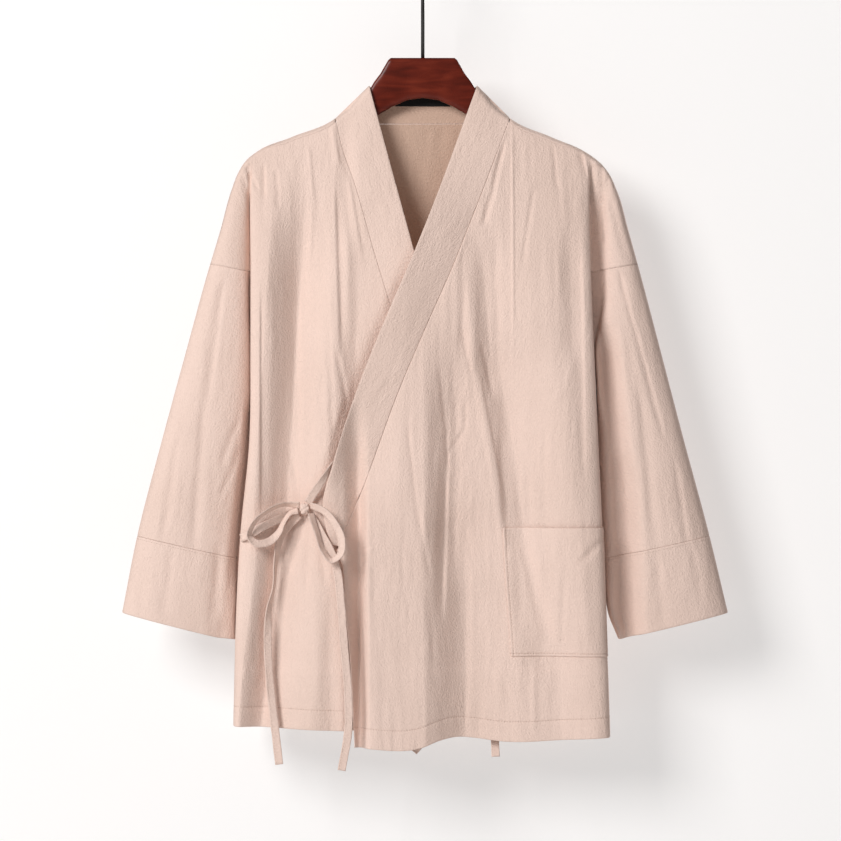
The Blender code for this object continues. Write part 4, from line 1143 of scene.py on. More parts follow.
def collar_run(edge, seam, layer):
    """One front stretch, from the ridge beside the neck down to where seam and edge meet."""
    edge_top, seam_top = OUTLINE[0].drop, OUTLINE[1].drop
    seam_end = seam[-1].drop - 2
    place = spaced(COLLAR_ROWS)[1:] ** COLLAR_ROW_BIAS
    far = place * (seam_end - seam_top)
    below = np.concatenate([RIDGE_STEPS, far[far > RIDGE_STEPS[-1] + 1]])
    seam_drop = seam_top + below[:, None]
    fade = np.exp(-(seam_drop - seam_top) / COLLAR_SLANT_FADE)
    slant = COLLAR_SLANT + (seam_top - edge_top - COLLAR_SLANT) * fade
    taper = step(seam_end - COLLAR_TAPER[0], seam_end + COLLAR_TAPER[1], seam_drop)
    slant = slant * (1 - taper)
    edge_drop = seam_drop - slant
    side = 1 if layer > 0 else -1
    seam_x = read(seam, "x", seam_drop) - side * SEAM_GAP / 2
    edge_x = read(edge, "x", edge_drop)
    width = spaced(COLLAR_WIDTH_CELLS)[None, :]
    x = edge_x + (seam_x - edge_x) * width
    drop = edge_drop + (seam_drop - edge_drop) * width
    calm = np.sin(math.pi * width) * step(0, COLLAR_CALM, below[:, None])
    long = waves(COLLAR_LONG, x, drop, COLLAR_LONG_SEED + layer)
    slanted = x + COLLAR_SHORT_SLANT * drop, drop - COLLAR_SHORT_SLANT * x
    short = waves(COLLAR_SHORT, *slanted, COLLAR_SHORT_SEED + layer)
    depth = front_depth(x, drop, layer) + (long + short) * calm
    if layer > 0:
        first, full, last, gone = COLLAR_LIFT_SPAN
        lifted = step(first, full, drop) * (1 - step(last, gone, drop))
        depth = depth + COLLAR_LIFT * lifted * (1 - width)
    depth[0] = 0
    return np.stack([x, -depth, -drop], axis=2)


def collar_back(count):
    """The stretch behind the neck, from the right ridge to the left one."""
    place = np.linspace(-1, 1, 2 * count + 1)
    angle = math.pi / 2 * place
    around = np.cos(angle)
    half = np.where(place > 0, OUTLINE[0].left, OUTLINE[0].right)
    top_x = half * np.sin(angle)
    seam_x = NECK_HALF_WIDTH * np.sin(angle)
    seam_drop = neck_drop(seam_x) - SEAM_GAP / 2
    seam_y = back_depth(seam_x, seam_drop)
    seam_y[[0, -1]] = 0
    top_drop = smooth(column(BACK_COLLAR, "around"), column(BACK_COLLAR, "top_drop"), around)
    top_y = smooth(column(BACK_COLLAR, "around"), column(BACK_COLLAR, "top_depth"), around)
    width = spaced(COLLAR_WIDTH_CELLS)[None, :]
    x = top_x[:, None] + (seam_x - top_x)[:, None] * width
    y = top_y[:, None] + (seam_y - top_y)[:, None] * width
    drop = top_drop[:, None] + (seam_drop - top_drop)[:, None] * width
    return np.stack([x, y, -drop], axis=2)


def faces_out(grid, flip):
    """The cloth's outward direction at every point of a grid."""
    down, along = np.gradient(grid, axis=0), np.gradient(grid, axis=1)
    out = np.cross(down, along)
    length = np.linalg.norm(out, axis=2, keepdims=True)
    return out / np.maximum(length, LEAST) * (-1 if flip else 1)


def turned(grid, edge):
    """The grid with the named edge as its last row."""
    if edge in ("first", "last"):
        grid = grid.transpose(1, 0, 2)
    return grid[::-1] if edge in ("top", "first") else grid


def turned_back(grid, edge):
    if edge in ("top", "first"):
        grid = grid[::-1]
    return grid.transpose(1, 0, 2) if edge in ("first", "last") else grid


def lengths_from_edge(points):
    """How far each point lies from the last row, measured along its column."""
    steps = np.linalg.norm(np.diff(points[:, :, :3], axis=0), axis=2)
    back = np.cumsum(steps[::-1], axis=0)[::-1]
    return np.concatenate([back, np.zeros((1, points.shape[1]))], axis=0)


def laid_at(points, lengths, inset):
    """A row of points at an inset from the last row. The inset may differ from column to column."""
    inset = np.broadcast_to(inset, (points.shape[1],))
    before = np.clip((lengths > inset).sum(axis=0) - 1, 0, len(points) - 2)
    columns = np.arange(points.shape[1])
    far, near = lengths[before, columns], lengths[before + 1, columns]
    share = np.clip((far - inset) / np.maximum(far - near, LEAST), 0, 1)[:, None]
    return points[before, columns] * (1 - share) + points[before + 1, columns] * share


def finished(grid, edge, marks, flip=False):
    """Draws the rows back from one edge and lays a row at each mark's inset, moved in or out."""
    points = turned(np.concatenate([grid, faces_out(grid, flip)], axis=2), edge)
    lengths = lengths_from_edge(points)
    widest = marks[0].inset
    share = np.minimum(1.0, EDGE_SHARE * lengths[0] / widest)
    reach = np.maximum(np.minimum(DRAWN_BACK * widest, DRAWN_SHARE * lengths[0]), LEAST)
    drawn = share * widest + (reach - share * widest) * lengths[:-1] / reach
    drawn = np.where(lengths[:-1] < reach, drawn, lengths[:-1])
    rows = [laid_at(points, lengths, row)[:, :3] for row in drawn]
    for mark in marks:
        laid = laid_at(points, lengths, mark.inset * share)
        rows.append(laid[:, :3] + laid[:, 3:] * mark.out)
    return turned_back(np.array(rows), edge)


def hemmed(grid, span, flip):
    """Finishes the foot over a span of columns. The columns beside it end at the armhole."""
    body = finished(grid[:, span], "foot", HEMMED_EDGE, flip)
    more = np.repeat(grid[-1:], len(body) - len(grid), axis=0)
    whole = np.concatenate([grid, more], axis=0)
    whole[:, span] = body
    return whole


def stitch_line(grid, edge, inset, flip=False):
    """Points and outward directions along an edge, at an inset from it, for a row of stitches."""
    points = turned(np.concatenate([grid, faces_out(grid, flip)], axis=2), edge)
    return laid_at(points, lengths_from_edge(points), inset)


def pocket_grid(front, first_column):
    """Points of the patch pocket: the left front's own points, moved out from its cloth."""
    rows = slice(UPPER_ROWS + MIDDLE_ROWS, UPPER_ROWS + MIDDLE_ROWS + POCKET_ROWS + 1)
    columns = slice(first_column, first_column + LEFT_COLUMNS[1] + 1)
    base, out = front[rows, columns], faces_out(front, False)[rows, columns]
    x, drop = base[:, :, 0], -base[:, :, 2]
    down, over = spaced(x.shape[0] - 1)[:, None], spaced(x.shape[1] - 1)[None, :]
    first, last = POCKET_PUFF_EDGES
    puff = step(0, first, over) * (1 - step(last, 1, over)) * (1 - step(POCKET_PUFF_FOOT, 1, down))
    slack = waves(POCKET_SLACK, x, drop, POCKET_SEED) + POCKET_PUFF * puff
    folds = crease_height(x, drop, POCKET_CREASES)
    off = CLOTH_WALL + SEAM_GAP + POCKET_STAND_OFF + np.maximum(slack + folds, 0)
    return base + out * off[:, :, None]


def flat_lengths(grid):
    """Place of every point on the uncreased cloth: across it and down it, in metres."""
    across_steps = np.linalg.norm(np.diff(grid, axis=1), axis=2)
    down_steps = np.linalg.norm(np.diff(grid, axis=0), axis=2)
    u = np.concatenate([np.zeros((len(grid), 1)), np.cumsum(across_steps, axis=1)], axis=1)
    v = np.concatenate([np.zeros((1, grid.shape[1])), np.cumsum(down_steps, axis=0)], axis=0)
    middle = grid.shape[1] // 2
    return np.stack([u - u[:, middle : middle + 1], v], axis=2) * MM


def quads(grid, kept=None, flip=False):
    """Faces of a grid, leaving out the cells where kept is False."""
    rows, columns = grid.shape[:2]
    index = np.arange(rows * columns).reshape(rows, columns)
    corners = [index[:-1, :-1], index[1:, :-1], index[1:, 1:], index[:-1, 1:]]
    faces = np.stack(corners[::-1] if flip else corners, axis=2)
    return faces[kept] if kept is not None else faces.reshape(-1, 4)


def add_object(name, data):
    obj = bpy.data.objects.new(name, data)
    bpy.context.scene.collection.objects.link(obj)
    return obj


def add_piece(name, points, faces, uvs, finish):
    """A smooth mesh piece in metres, with its own place map."""
    data = bpy.data.meshes.new(name)
    data.from_pydata((np.asarray(points) * MM).tolist(), [], [list(face) for face in faces])
    layer = data.uv_layers.new(name="Cloth")
    corners = np.empty(len(data.loops), dtype=np.int32)
    data.loops.foreach_get("vertex_index", corners)
    layer.data.foreach_set("uv", np.asarray(uvs)[corners].ravel())
    mesh = bmesh.new()
    mesh.from_mesh(data)
    loose = [vert for vert in mesh.verts if not vert.link_faces]
    bmesh.ops.delete(mesh, geom=loose, context="VERTS")
    bmesh.ops.remove_doubles(mesh, verts=mesh.verts, dist=0.00002)
    mesh.to_mesh(data)
    mesh.free()
    data.shade_smooth()
    data.materials.append(finish)
    return add_object(name, data)


def take_over(obj, slot, *nodes):
    """The piece rides with the body and stands for its solids, which it hides. The named slot is
    not used.
    """
    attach(obj, "root")
    if nodes:
        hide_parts(*nodes)
    return obj


def cloth(name, grid, wall, finishes, kept=None, flip=False):
    """A shell of cloth over a grid of points, which stands for the solid of the same name."""
    uvs = flat_lengths(grid).reshape(-1, 2)
    piece = name + "_cloth"
    obj = add_piece(piece, grid.reshape(-1, 3), quads(grid, kept, flip), uvs, finishes[0])
    obj.data.materials.append(finishes[-1])
    thick = obj.modifiers.new("Wall", "SOLIDIFY")
    thick.thickness = wall * MM
    thick.offset = -1
    thick.use_quality_normals = True
    # The inner faces take the last finish; on the cotton pieces its darker tones are painted shade.
    thick.material_offset = 1
    return take_over(obj, "crinkled_cotton", name)


def strap_points(stops, spacing):
    """Centre, side and face directions along a strap, from its stops on the front."""
    lengths = np.array([0.0] + [math.dist(a[:2], b[:2]) for a, b in zip(stops, stops[1:])])
    along = np.cumsum(lengths)
    count = max(4, round(along[-1] / spacing))
    place = np.linspace(0, along[-1], count + 1)
    x, drop, out, twist = (smooth(along, column(stops, n), place) for n in Stop._fields)
    centre = np.stack([x, -(front_depth(x, drop) + out), -drop], axis=1)
    ahead = np.gradient(centre, axis=0)
    ahead /= np.linalg.norm(ahead, axis=1, keepdims=True)
    out_of_cloth = np.array([0.0, -1.0, 0.0])
    flat = np.cross(ahead, out_of_cloth)
    flat /= np.linalg.norm(flat, axis=1, keepdims=True)
    face = np.cross(flat, ahead)
    turn = np.radians(twist)[:, None]
    side = flat * np.cos(turn) + face * np.sin(turn)
    return centre, side, np.cross(ahead, side)


def tube_faces(rings, corners):
    """Faces of a tube of rings with flat ends."""
    index = np.arange(rings * corners).reshape(rings, corners)
    turned_on = np.roll(index, -1, axis=1)
    walls = np.stack([index[:-1], turned_on[:-1], turned_on[1:], index[1:]], axis=2)
    faces = [list(face) for face in walls.reshape(-1, 4)]
    return faces + [list(index[0][::-1]), list(index[-1])]


def outward(obj):
    """Turns every face of a closed piece outwards."""
    mesh = bmesh.new()
    mesh.from_mesh(obj.data)
    bmesh.ops.recalc_face_normals(mesh, faces=mesh.faces)
    mesh.to_mesh(obj.data)
    mesh.free()


def strap(name, tie, finish, slack_seed):
    """A flat tie of folded and stitched cloth along its stops. Returns its two stitch lines.

    A cord has to be at least 6 of its widths long. The front tie is a little shorter than that, so
    it is declared narrower than the width it is made at.
    """
    centre, side, face = strap_points(tie, STRAP_SPACING)
    half, thick = STRAP_WIDTH / 2, STRAP_WALL / 2
    at = np.arange(len(centre)) * STRAP_SPACING
    widths = half * (1 + waves(STRAP_WIDTH_WAVE, at, at * 0, slack_seed))
    bends = waves(STRAP_CUP_WAVE, at, at * 0, slack_seed + 1)
    points, uvs = [], []
    around = np.linspace(0, 1, len(TIE_SECTION), endpoint=False) * 2 * STRAP_WIDTH
    for i in range(len(centre)):
        for k, corner in enumerate(TIE_SECTION):
            cupped = bends[i] * (1 - corner.across**2)
            out = face[i] * (thick * corner.out + cupped)
            points.append(centre[i] + side[i] * widths[i] * corner.across + out)
            uvs.append((around[k] * MM, at[i] * MM))
    faces = tube_faces(len(centre), len(TIE_SECTION))
    obj = add_piece(name + "_cloth", points, faces, uvs, finish)
    outward(obj)
    take_over(obj, "crinkled_cotton", name)
    lines = []
    for facing in (1, -1):
        lifted = face * facing * thick * TIE_STITCH_HEIGHT
        place = centre + side * (half - TIE_STITCH) + lifted
        lines.append(np.concatenate([place, face * facing], axis=1)[1:-1])
    return lines


def bow_knot(finish):
    """The bow's knot: a soft lump with the turns of cloth wound round it."""
    mesh = bmesh.new()
    bmesh.ops.create_cube(mesh, size=2.0)
    bmesh.ops.subdivide_edges(mesh, edges=mesh.edges, cuts=KNOT_CUTS, use_grid_fill=True)
    depth = float(front_depth(KNOT.x, KNOT.drop)) + KNOT.out
    centre = Vector((KNOT.x, -depth, -KNOT.drop)) * MM
    for vert in mesh.verts:
        ball = vert.co.normalized()
        rounded = vert.co.lerp(ball * KNOT_BALL, KNOT_ROUNDNESS)
        slant = ball.z * KNOT_SLANT[0] - ball.x * KNOT_SLANT[1]
        turn = 0.5 + 0.5 * math.cos(slant * KNOT_TURNS)
        pucker = 0.5 + 0.5 * math.cos(ball.x * KNOT_PUCKERS[0] + ball.z * KNOT_PUCKERS[1])
        pinched = 1 - KNOT_TURN_DEPTH * turn**3 - KNOT_PUCKER_DEPTH * pucker
        vert.co = Vector([c * s / 2 * pinched * MM for c, s in zip(rounded, KNOT_SIZE)]) + centre
    data = bpy.data.meshes.new("bow_knot_cloth")
    layer = mesh.loops.layers.uv.new("Cloth")
    for face in mesh.faces:
        for loop in face.loops:
            loop[layer].uv = (loop.vert.co.x + loop.vert.co.y, loop.vert.co.z)
    mesh.to_mesh(data)
    mesh.free()
    data.shade_smooth()
    data.materials.append(finish)
    take_over(add_object("bow_knot_cloth", data), "crinkled_cotton", "bow_knot")


def wooden_hanger(finish):
    """The hanger: a neck block over an arch, with two rounded arms that fall to the shoulders."""
    half = [tuple(row) for row in WOOD_BLOCK]
    for arm in WOOD_ARM:
        shoulder = max(float(outline_drop(arm.x)), float(outline_drop(-arm.x)))
        half.append((arm.x, shoulder + arm.wall + ARM_CLEARANCE, arm.foot))
    knots, tops, feet = np.array(half).T
    even = np.arange(0, knots[-1], WOOD_STATION_GAP)
    reach = np.unique(np.concatenate([even, knots, WOOD_TIP_STATIONS]))
    stations = np.concatenate([-reach[:0:-1], reach])
    points, uvs = [], []
    turns = np.linspace(0, 2 * math.pi, WOOD_CORNERS, endpoint=False)
    power = 2 / WOOD_ROUNDNESS
    for x in stations:
        raised = WOOD_RAISED * float(1 - step(*WOOD_RAISED_FADE, abs(x)))
        top = np.interp(abs(x), knots, tops) - raised
        foot = np.interp(abs(x), knots, feet) - raised
        tip = min(1.0, (knots[-1] - abs(x)) / WOOD_TIP_LENGTH)
        small = math.sqrt(max(1 - (1 - tip) ** 2, 0.02))
        for turn in turns:
            c, s = math.cos(turn), math.sin(turn)
            y = WOOD_HALF_THICKNESS * small * math.copysign(abs(c) ** power, c)
            z = (foot - top) / 2 * small * math.copysign(abs(s) ** power, s)
            points.append((x, y, -(top + foot) / 2 + z))
            uvs.append((x * MM, turn * WOOD_HALF_THICKNESS * MM))
    faces = tube_faces(len(stations), len(turns))
    obj = add_piece("wooden_hanger", points, faces, uvs, finish)
    outward(obj)
    take_over(obj, "red_brown_wood", "hanger_body")


def hook_route():
    """Centre line of the hook: up from the wood, out to one side, then over the top."""
    centre_drop = HOOK_RADIUS - WIRE_RADIUS
    bend = math.radians(HOOK_SIDE_TURN)
    start_drop = centre_drop + 2 * HOOK_RADIUS * math.sin(bend)
    route = [(0.0, BLOCK_TOP_DROP - SEAM_GAP)]
    for turn in np.linspace(0, bend, 15):
        x = HOOK_RADIUS * (1 - math.cos(turn))
        route.append((x, start_drop - HOOK_RADIUS * math.sin(turn)))
    first = -(math.pi / 2 - bend)
    for turn in np.linspace(first, first + math.radians(HOOK_OVER_TURN), 61)[1:]:
        route.append((HOOK_RADIUS * math.cos(turn), centre_drop - HOOK_RADIUS * math.sin(turn)))
    return np.array(route)


def wire_hook(finish):
    """The hook's round wire, with a rounded tip."""
    route = hook_route()
    centre = np.stack([route[:, 0], 0 * route[:, 0], -route[:, 1]], axis=1)
    ahead = np.gradient(centre, axis=0)
    ahead /= np.linalg.norm(ahead, axis=1, keepdims=True)
    side = np.cross(ahead, [0.0, 1.0, 0.0])
    radii = np.full(len(centre), WIRE_RADIUS)
    tip = centre[-1] + ahead[-1] * WIRE_RADIUS * np.array([[0.0], [0.5], [0.85], [0.97]])
    centre = np.concatenate([centre[:-1], tip - ahead[-1] * WIRE_RADIUS])
    side = np.concatenate([side[:-1], np.repeat(side[-1:], 4, axis=0)])
    radii = np.concatenate([radii[:-1], WIRE_RADIUS * np.array([1.0, 0.87, 0.53, 0.24])])
    points, uvs = [], []
    turns = np.linspace(0, 2 * math.pi, WIRE_CORNERS, endpoint=False)
    for c, s, r in zip(centre, side, radii):
        for turn in turns:
            points.append(c + r * (s * math.cos(turn) + np.array([0, 1, 0]) * math.sin(turn)))
            uvs.append((turn * WIRE_RADIUS * MM, c[2] * MM))
    obj = add_piece("wire_hook", points, tube_faces(len(centre), len(turns)), uvs, finish)
    outward(obj)
    take_over(obj, "black_wire", "hanger_hook")


def neck_label(finish):
    """A bare woven label inside the back of the collar."""
    place = np.linspace(-1, 1, 61)[None, :]
    down = spaced(16)[:, None]
    x = LABEL_HALF_WIDTH * place + 0 * down
    drop = LABEL_TOP_DROP + (LABEL_FOOT_DROP - LABEL_TOP_DROP) * down + 0 * place
    band = collar_back(9)
    top, seam = band[:, 0], band[:, -1]
    share = (drop - BACK_COLLAR[-1].top_drop) / (BACK_NECK_DROP - BACK_COLLAR[-1].top_drop)
    top_y = np.interp(x, top[:, 0], top[:, 1])
    seam_y = np.interp(x, seam[:, 0], seam[:, 1])
    y = top_y + (seam_y - top_y) * share - LABEL_STAND_OFF
    y = y + waves(LABEL_WAVE, x, drop, LABEL_SEED)
    obj = cloth("neck_label", np.stack([x, y, -drop], axis=2), LABEL_WALL, (finish,))


def stitch_rows(lines, finish):
    """A thread stitch at each pitch along every line, made by a Geometry Nodes tree."""
    points = np.concatenate(lines)
    edges, start = [], 0
    for line in lines:
        edges += [(start + i, start + i + 1) for i in range(len(line) - 1)]
        start += len(line)
    data = bpy.data.meshes.new("stitch_lines")
    data.from_pydata((points[:, :3] * MM).tolist(), edges, [])
    facing = data.attributes.new("facing", "FLOAT_VECTOR", "POINT")
    facing.data.foreach_set("vector", points[:, 3:].ravel())
    guide = add_object("stitch_lines", data)
    tree, sizes = stitch_tree(finish)
    sewn = guide.modifiers.new("Stitches", "NODES")
    sewn.node_group = tree
    for socket, value in zip(sizes, (STITCH_PITCH * MM, STITCH_LENGTH * MM, THREAD * MM)):
        sewn[socket.identifier] = value
    graph = bpy.context.evaluated_depsgraph_get()
    made = bpy.data.meshes.new_from_object(guide.evaluated_get(graph), depsgraph=graph)
    made.name = "stitches"
    made.shade_smooth()
    bpy.data.objects.remove(guide, do_unlink=True)
    take_over(add_object("stitches", made), "crinkled_cotton")


def stitch_tree(finish):
    """Turns lines into rows of short threads that lie along them and face out of the cloth."""
    tree = bpy.data.node_groups.new("stitch_row", "GeometryNodeTree")
    face = tree.interface
    face.new_socket("Lines", in_out="INPUT", socket_type="NodeSocketGeometry")
    sizes = []
    for name in ("Pitch", "Length", "Thread"):
        sizes.append(face.new_socket(name, in_out="INPUT", socket_type="NodeSocketFloat"))
    face.new_socket("Stitches", in_out="OUTPUT", socket_type="NodeSocketGeometry")
    node, link = tree.nodes.new, tree.links.new
    given, result = node("NodeGroupInput"), node("NodeGroupOutput")
    curve, even = node("GeometryNodeMeshToCurve"), node("GeometryNodeResampleCurve")
    even.mode = "LENGTH"
    link(given.outputs["Lines"], curve.inputs["Mesh"])
    link(curve.outputs["Curve"], even.inputs["Curve"])
    link(given.outputs["Pitch"], even.inputs["Length"])
    thread = node("GeometryNodeMeshUVSphere")
    set_sockets(thread, {"Segments": 6, "Rings": 4, "Radius": 0.5})
    stretch, size = node("GeometryNodeTransform"), node("ShaderNodeCombineXYZ")
    link(given.outputs["Length"], size.inputs["X"])
    link(given.outputs["Thread"], size.inputs["Y"])
    link(given.outputs["Thread"], size.inputs["Z"])
    link(thread.outputs["Mesh"], stretch.inputs["Geometry"])
    link(size.outputs["Vector"], stretch.inputs["Scale"])
    facing = node("GeometryNodeInputNamedAttribute")
    facing.data_type = "FLOAT_VECTOR"
    facing.inputs["Name"].default_value = "facing"
    upright = node("FunctionNodeAlignRotationToVector")
    ahead = node("FunctionNodeAlignRotationToVector")
    upright.axis = "Z"
    ahead.axis, ahead.pivot_axis = "X", "Z"
    tangent = node("GeometryNodeInputTangent")
    link(facing.outputs["Attribute"], upright.inputs["Vector"])
    link(upright.outputs["Rotation"], ahead.inputs["Rotation"])
    link(tangent.outputs["Tangent"], ahead.inputs["Vector"])
    uneven = node("FunctionNodeRandomValue")
    uneven.data_type = "FLOAT_VECTOR"
    uneven.inputs[0].default_value = (0.85, 0.9, 0.9)
    uneven.inputs[1].default_value = (1.1, 1.1, 1.1)
    uneven.inputs["Seed"].default_value = 7
    placed, real = node("GeometryNodeInstanceOnPoints"), node("GeometryNodeRealizeInstances")
    link(even.outputs["Curve"], placed.inputs["Points"])
    link(stretch.outputs["Geometry"], placed.inputs["Instance"])
    link(ahead.outputs["Rotation"], placed.inputs["Rotation"])
    link(uneven.outputs["Value"], placed.inputs["Scale"])
    link(placed.outputs["Instances"], real.inputs["Geometry"])
    painted = node("GeometryNodeSetMaterial")
    painted.inputs["Material"].default_value = finish
    link(real.outputs["Geometry"], painted.inputs["Geometry"])
    link(painted.outputs["Geometry"], result.inputs["Stitches"])
    return tree, sizes


def set_sockets(node, values):
    for name, value in values.items():
        node.inputs[name].default_value = value


def math_node(tree, operation, a, b):
    made = tree.nodes.new("ShaderNodeMath")
    made.operation = operation
    for socket, value in zip(made.inputs, (a, b)):
        if isinstance(value, (int, float)):
            socket.default_value = value
        else:
            tree.links.new(value, socket)
    return made.outputs[0]


def noise_node(tree, place, scale, **settings):
    """Noise read at a place, with any other of its sockets set by name."""
    noise = tree.nodes.new("ShaderNodeTexNoise")
    set_sockets(noise, {"Scale": scale, **settings})
    tree.links.new(place, noise.inputs["Vector"])
    return noise.outputs["Fac"]


def stretched_place(tree, place, scale, start=(0.0, 0.0, 0.0)):
    mapped = tree.nodes.new("ShaderNodeMapping")
    set_sockets(mapped, {"Scale": scale, "Location": start})
    tree.links.new(place, mapped.inputs["Vector"])
    return mapped.outputs["Vector"]


def color_ramp(tree, tone, *stops):
    """Blends between colours, each given with the tone where it stands."""
    tones = tree.nodes.new("ShaderNodeValToRGB")
    elements = tones.color_ramp.elements
    ends = (elements[0], elements[1])
    for element, (position, color) in zip(ends, (stops[0], stops[-1])):
        element.position, element.color = position, (*color, 1)
    for position, color in stops[1:-1]:
        elements.new(position).color = (*color, 1)
    tree.links.new(tone, tones.inputs["Fac"])
    return tones.outputs["Color"]


def stretched_noise(tree, place, noise):
    """Noise on the cloth's place map, so many waves a metre across it and down it."""
    start = (noise.start, noise.start * 1.7, 0.0)
    mapped = stretched_place(tree, place, (noise.across, noise.down, 1.0), start)
    return noise_node(tree, mapped, 1.0, Detail=noise.detail, Roughness=0.55)


def woven_crinkle_group():
    """Crinkled plain weave with uneven yarns. Gives a colour, a height and a roughness. The colour
    is darker in the crepe's hollows as painted shade.
    """
    tree = bpy.data.node_groups.new("woven_crinkle", "ShaderNodeTree")
    face = tree.interface
    face.new_socket("Place", in_out="INPUT", socket_type="NodeSocketVector")
    for name, value in (("Crinkle", 1.0), ("Threads per metre", CLOTH_THREADS)):
        socket = face.new_socket(name, in_out="INPUT", socket_type="NodeSocketFloat")
        socket.default_value = value
    for name in ("Light", "Dark"):
        face.new_socket(name, in_out="INPUT", socket_type="NodeSocketColor")
    face.new_socket("Color", in_out="OUTPUT", socket_type="NodeSocketColor")
    face.new_socket("Height", in_out="OUTPUT", socket_type="NodeSocketFloat")
    face.new_socket("Roughness", in_out="OUTPUT", socket_type="NodeSocketFloat")
    node, link = tree.nodes.new, tree.links.new

    def times(a, b):
        return math_node(tree, "MULTIPLY", a, b)

    def plus(a, b):
        return math_node(tree, "ADD", a, b)

    given, result = node("NodeGroupInput"), node("NodeGroupOutput")
    place = given.outputs["Place"]
    crepe = stretched_noise(tree, place, CREPE_NOISE)
    crinkles = stretched_noise(tree, place, CRINKLE_NOISE)
    yarn = stretched_noise(tree, place, YARN_NOISE)
    weft = stretched_noise(tree, place, WEFT_NOISE)
    patches = stretched_noise(tree, place, PATCH_NOISE)
    broad = stretched_noise(tree, place, BROAD_NOISE)
    apart = node("ShaderNodeSeparateXYZ")
    link(place, apart.inputs["Vector"])
    turns = times(given.outputs["Threads per metre"], 2 * math.pi)
    over = math_node(tree, "SINE", times(apart.outputs["X"], turns), 0.0)
    under = math_node(tree, "SINE", times(apart.outputs["Y"], turns), 0.0)
    weave = times(over, under)
    bumpy = times(math_node(tree, "SUBTRACT", patches, 0.28), 2.2)
    bumpy = math_node(tree, "MAXIMUM", bumpy, 0.12)
    bumpy = times(bumpy, given.outputs["Crinkle"])
    height = times(crinkles, bumpy)
    height = times(height, 1.1)
    grained = times(crepe, given.outputs["Crinkle"])
    height = plus(height, times(grained, 0.62))
    yarns = times(plus(yarn, weft), 0.08)
    height = plus(height, yarns)
    height = plus(height, times(weave, 0.03))
    link(height, result.inputs["Height"])
    # Random patches and yarn slubs set the tone, and so does the crepe's height, which darkens the
    # colour in the crepe's hollows: painted shade.
    tone = plus(broad, times(crepe, 0.5))
    tone = plus(tone, times(yarn, 0.15))
    share = node("ShaderNodeMapRange")
    set_sockets(share, {"From Min": 0.6, "From Max": 1.1})
    link(tone, share.inputs["Value"])
    mixed = node("ShaderNodeMix")
    mixed.data_type = "RGBA"
    link(share.outputs["Result"], mixed.inputs["Factor"])
    link(given.outputs["Dark"], mixed.inputs[6])
    link(given.outputs["Light"], mixed.inputs[7])
    link(mixed.outputs[2], result.inputs["Color"])
    rough = plus(times(crepe, 0.14), 0.8)
    link(rough, result.inputs["Roughness"])
    return tree


def new_finish(name):
    made = bpy.data.materials.new(name)
    made.use_nodes = True
    return made, made.node_tree, made.node_tree.nodes["Principled BSDF"]


def bumped(tree, shader, height, strength, distance):
    bump = tree.nodes.new("ShaderNodeBump")
    set_sockets(bump, {"Strength": strength, "Distance": distance})
    tree.links.new(height, bump.inputs["Height"])
    tree.links.new(bump.outputs["Normal"], shader.inputs["Normal"])


def cloth_finish(name, group, shades, crinkle, bump, threads, sheen, glow=None):
    made, tree, shader = new_finish(name)
    light, dark = shades
    place = tree.nodes.new("ShaderNodeUVMap")
    place.uv_map = "Cloth"
    weave = tree.nodes.new("ShaderNodeGroup")
    weave.node_tree = group
    tree.links.new(place.outputs["UV"], weave.inputs["Place"])
    set_sockets(weave, {"Crinkle": crinkle, "Threads per metre": threads})
    set_sockets(weave, {"Light": (*light, 1.0), "Dark": (*dark, 1.0)})
    tree.links.new(weave.outputs["Color"], shader.inputs["Base Color"])
    tree.links.new(weave.outputs["Roughness"], shader.inputs["Roughness"])
    bumped(tree, shader, weave.outputs["Height"], 1.0, bump)
    set_sockets(shader, {"Specular IOR Level": 0.2, "Sheen Weight": sheen})
    set_sockets(shader, {"Sheen Roughness": 0.5, "Sheen Tint": (*SHEEN_TINT, 1.0)})
    if glow:
        set_sockets(shader, {"Emission Color": (*glow, 1.0)})
        set_sockets(shader, {"Emission Strength": INSIDE_GLOW_STRENGTH})
    return made


def thread_finish():
    made, tree, shader = new_finish("cotton_thread")
    place = tree.nodes.new("ShaderNodeTexCoord").outputs["Object"]
    twist = noise_node(tree, place, 900.0)
    color = color_ramp(tree, twist, (0.0, (0.46, 0.33, 0.27)), (1.0, (0.66, 0.50, 0.42)))
    tree.links.new(color, shader.inputs["Base Color"])
    bumped(tree, shader, twist, 0.4, 0.0002)
    shader.inputs["Roughness"].default_value = 0.7
    return made


def lacquered_wood():
    """Red-brown stained wood under a glossy lacquer, darker along its grain and at its knots."""
    made, tree, shader = new_finish("lacquered_wood")
    place = tree.nodes.new("ShaderNodeTexCoord").outputs["Object"]
    along = stretched_place(tree, place, (9.0, 60.0, 60.0))
    grain = noise_node(tree, along, 1.6, Detail=6.0, Distortion=1.2)
    patches = noise_node(tree, place, 26.0, Detail=2.0)
    color = color_ramp(
        tree,
        math_node(tree, "ADD", grain, math_node(tree, "MULTIPLY", patches, 0.6)),
        (0.5, (0.060, 0.0075, 0.004)),
        (0.78, (0.112, 0.0130, 0.0062)),
        (1.0, (0.165, 0.0225, 0.010)),
    )
    tree.links.new(color, shader.inputs["Base Color"])
    rough = math_node(tree, "ADD", math_node(tree, "MULTIPLY", patches, 0.16), 0.2)
    tree.links.new(rough, shader.inputs["Roughness"])
    bumped(tree, shader, grain, 0.12, 0.0004)
    lacquer = {"Specular IOR Level": 0.18, "Coat Weight": 0.08, "Coat Roughness": 0.2}
    set_sockets(shader, lacquer)
    return made


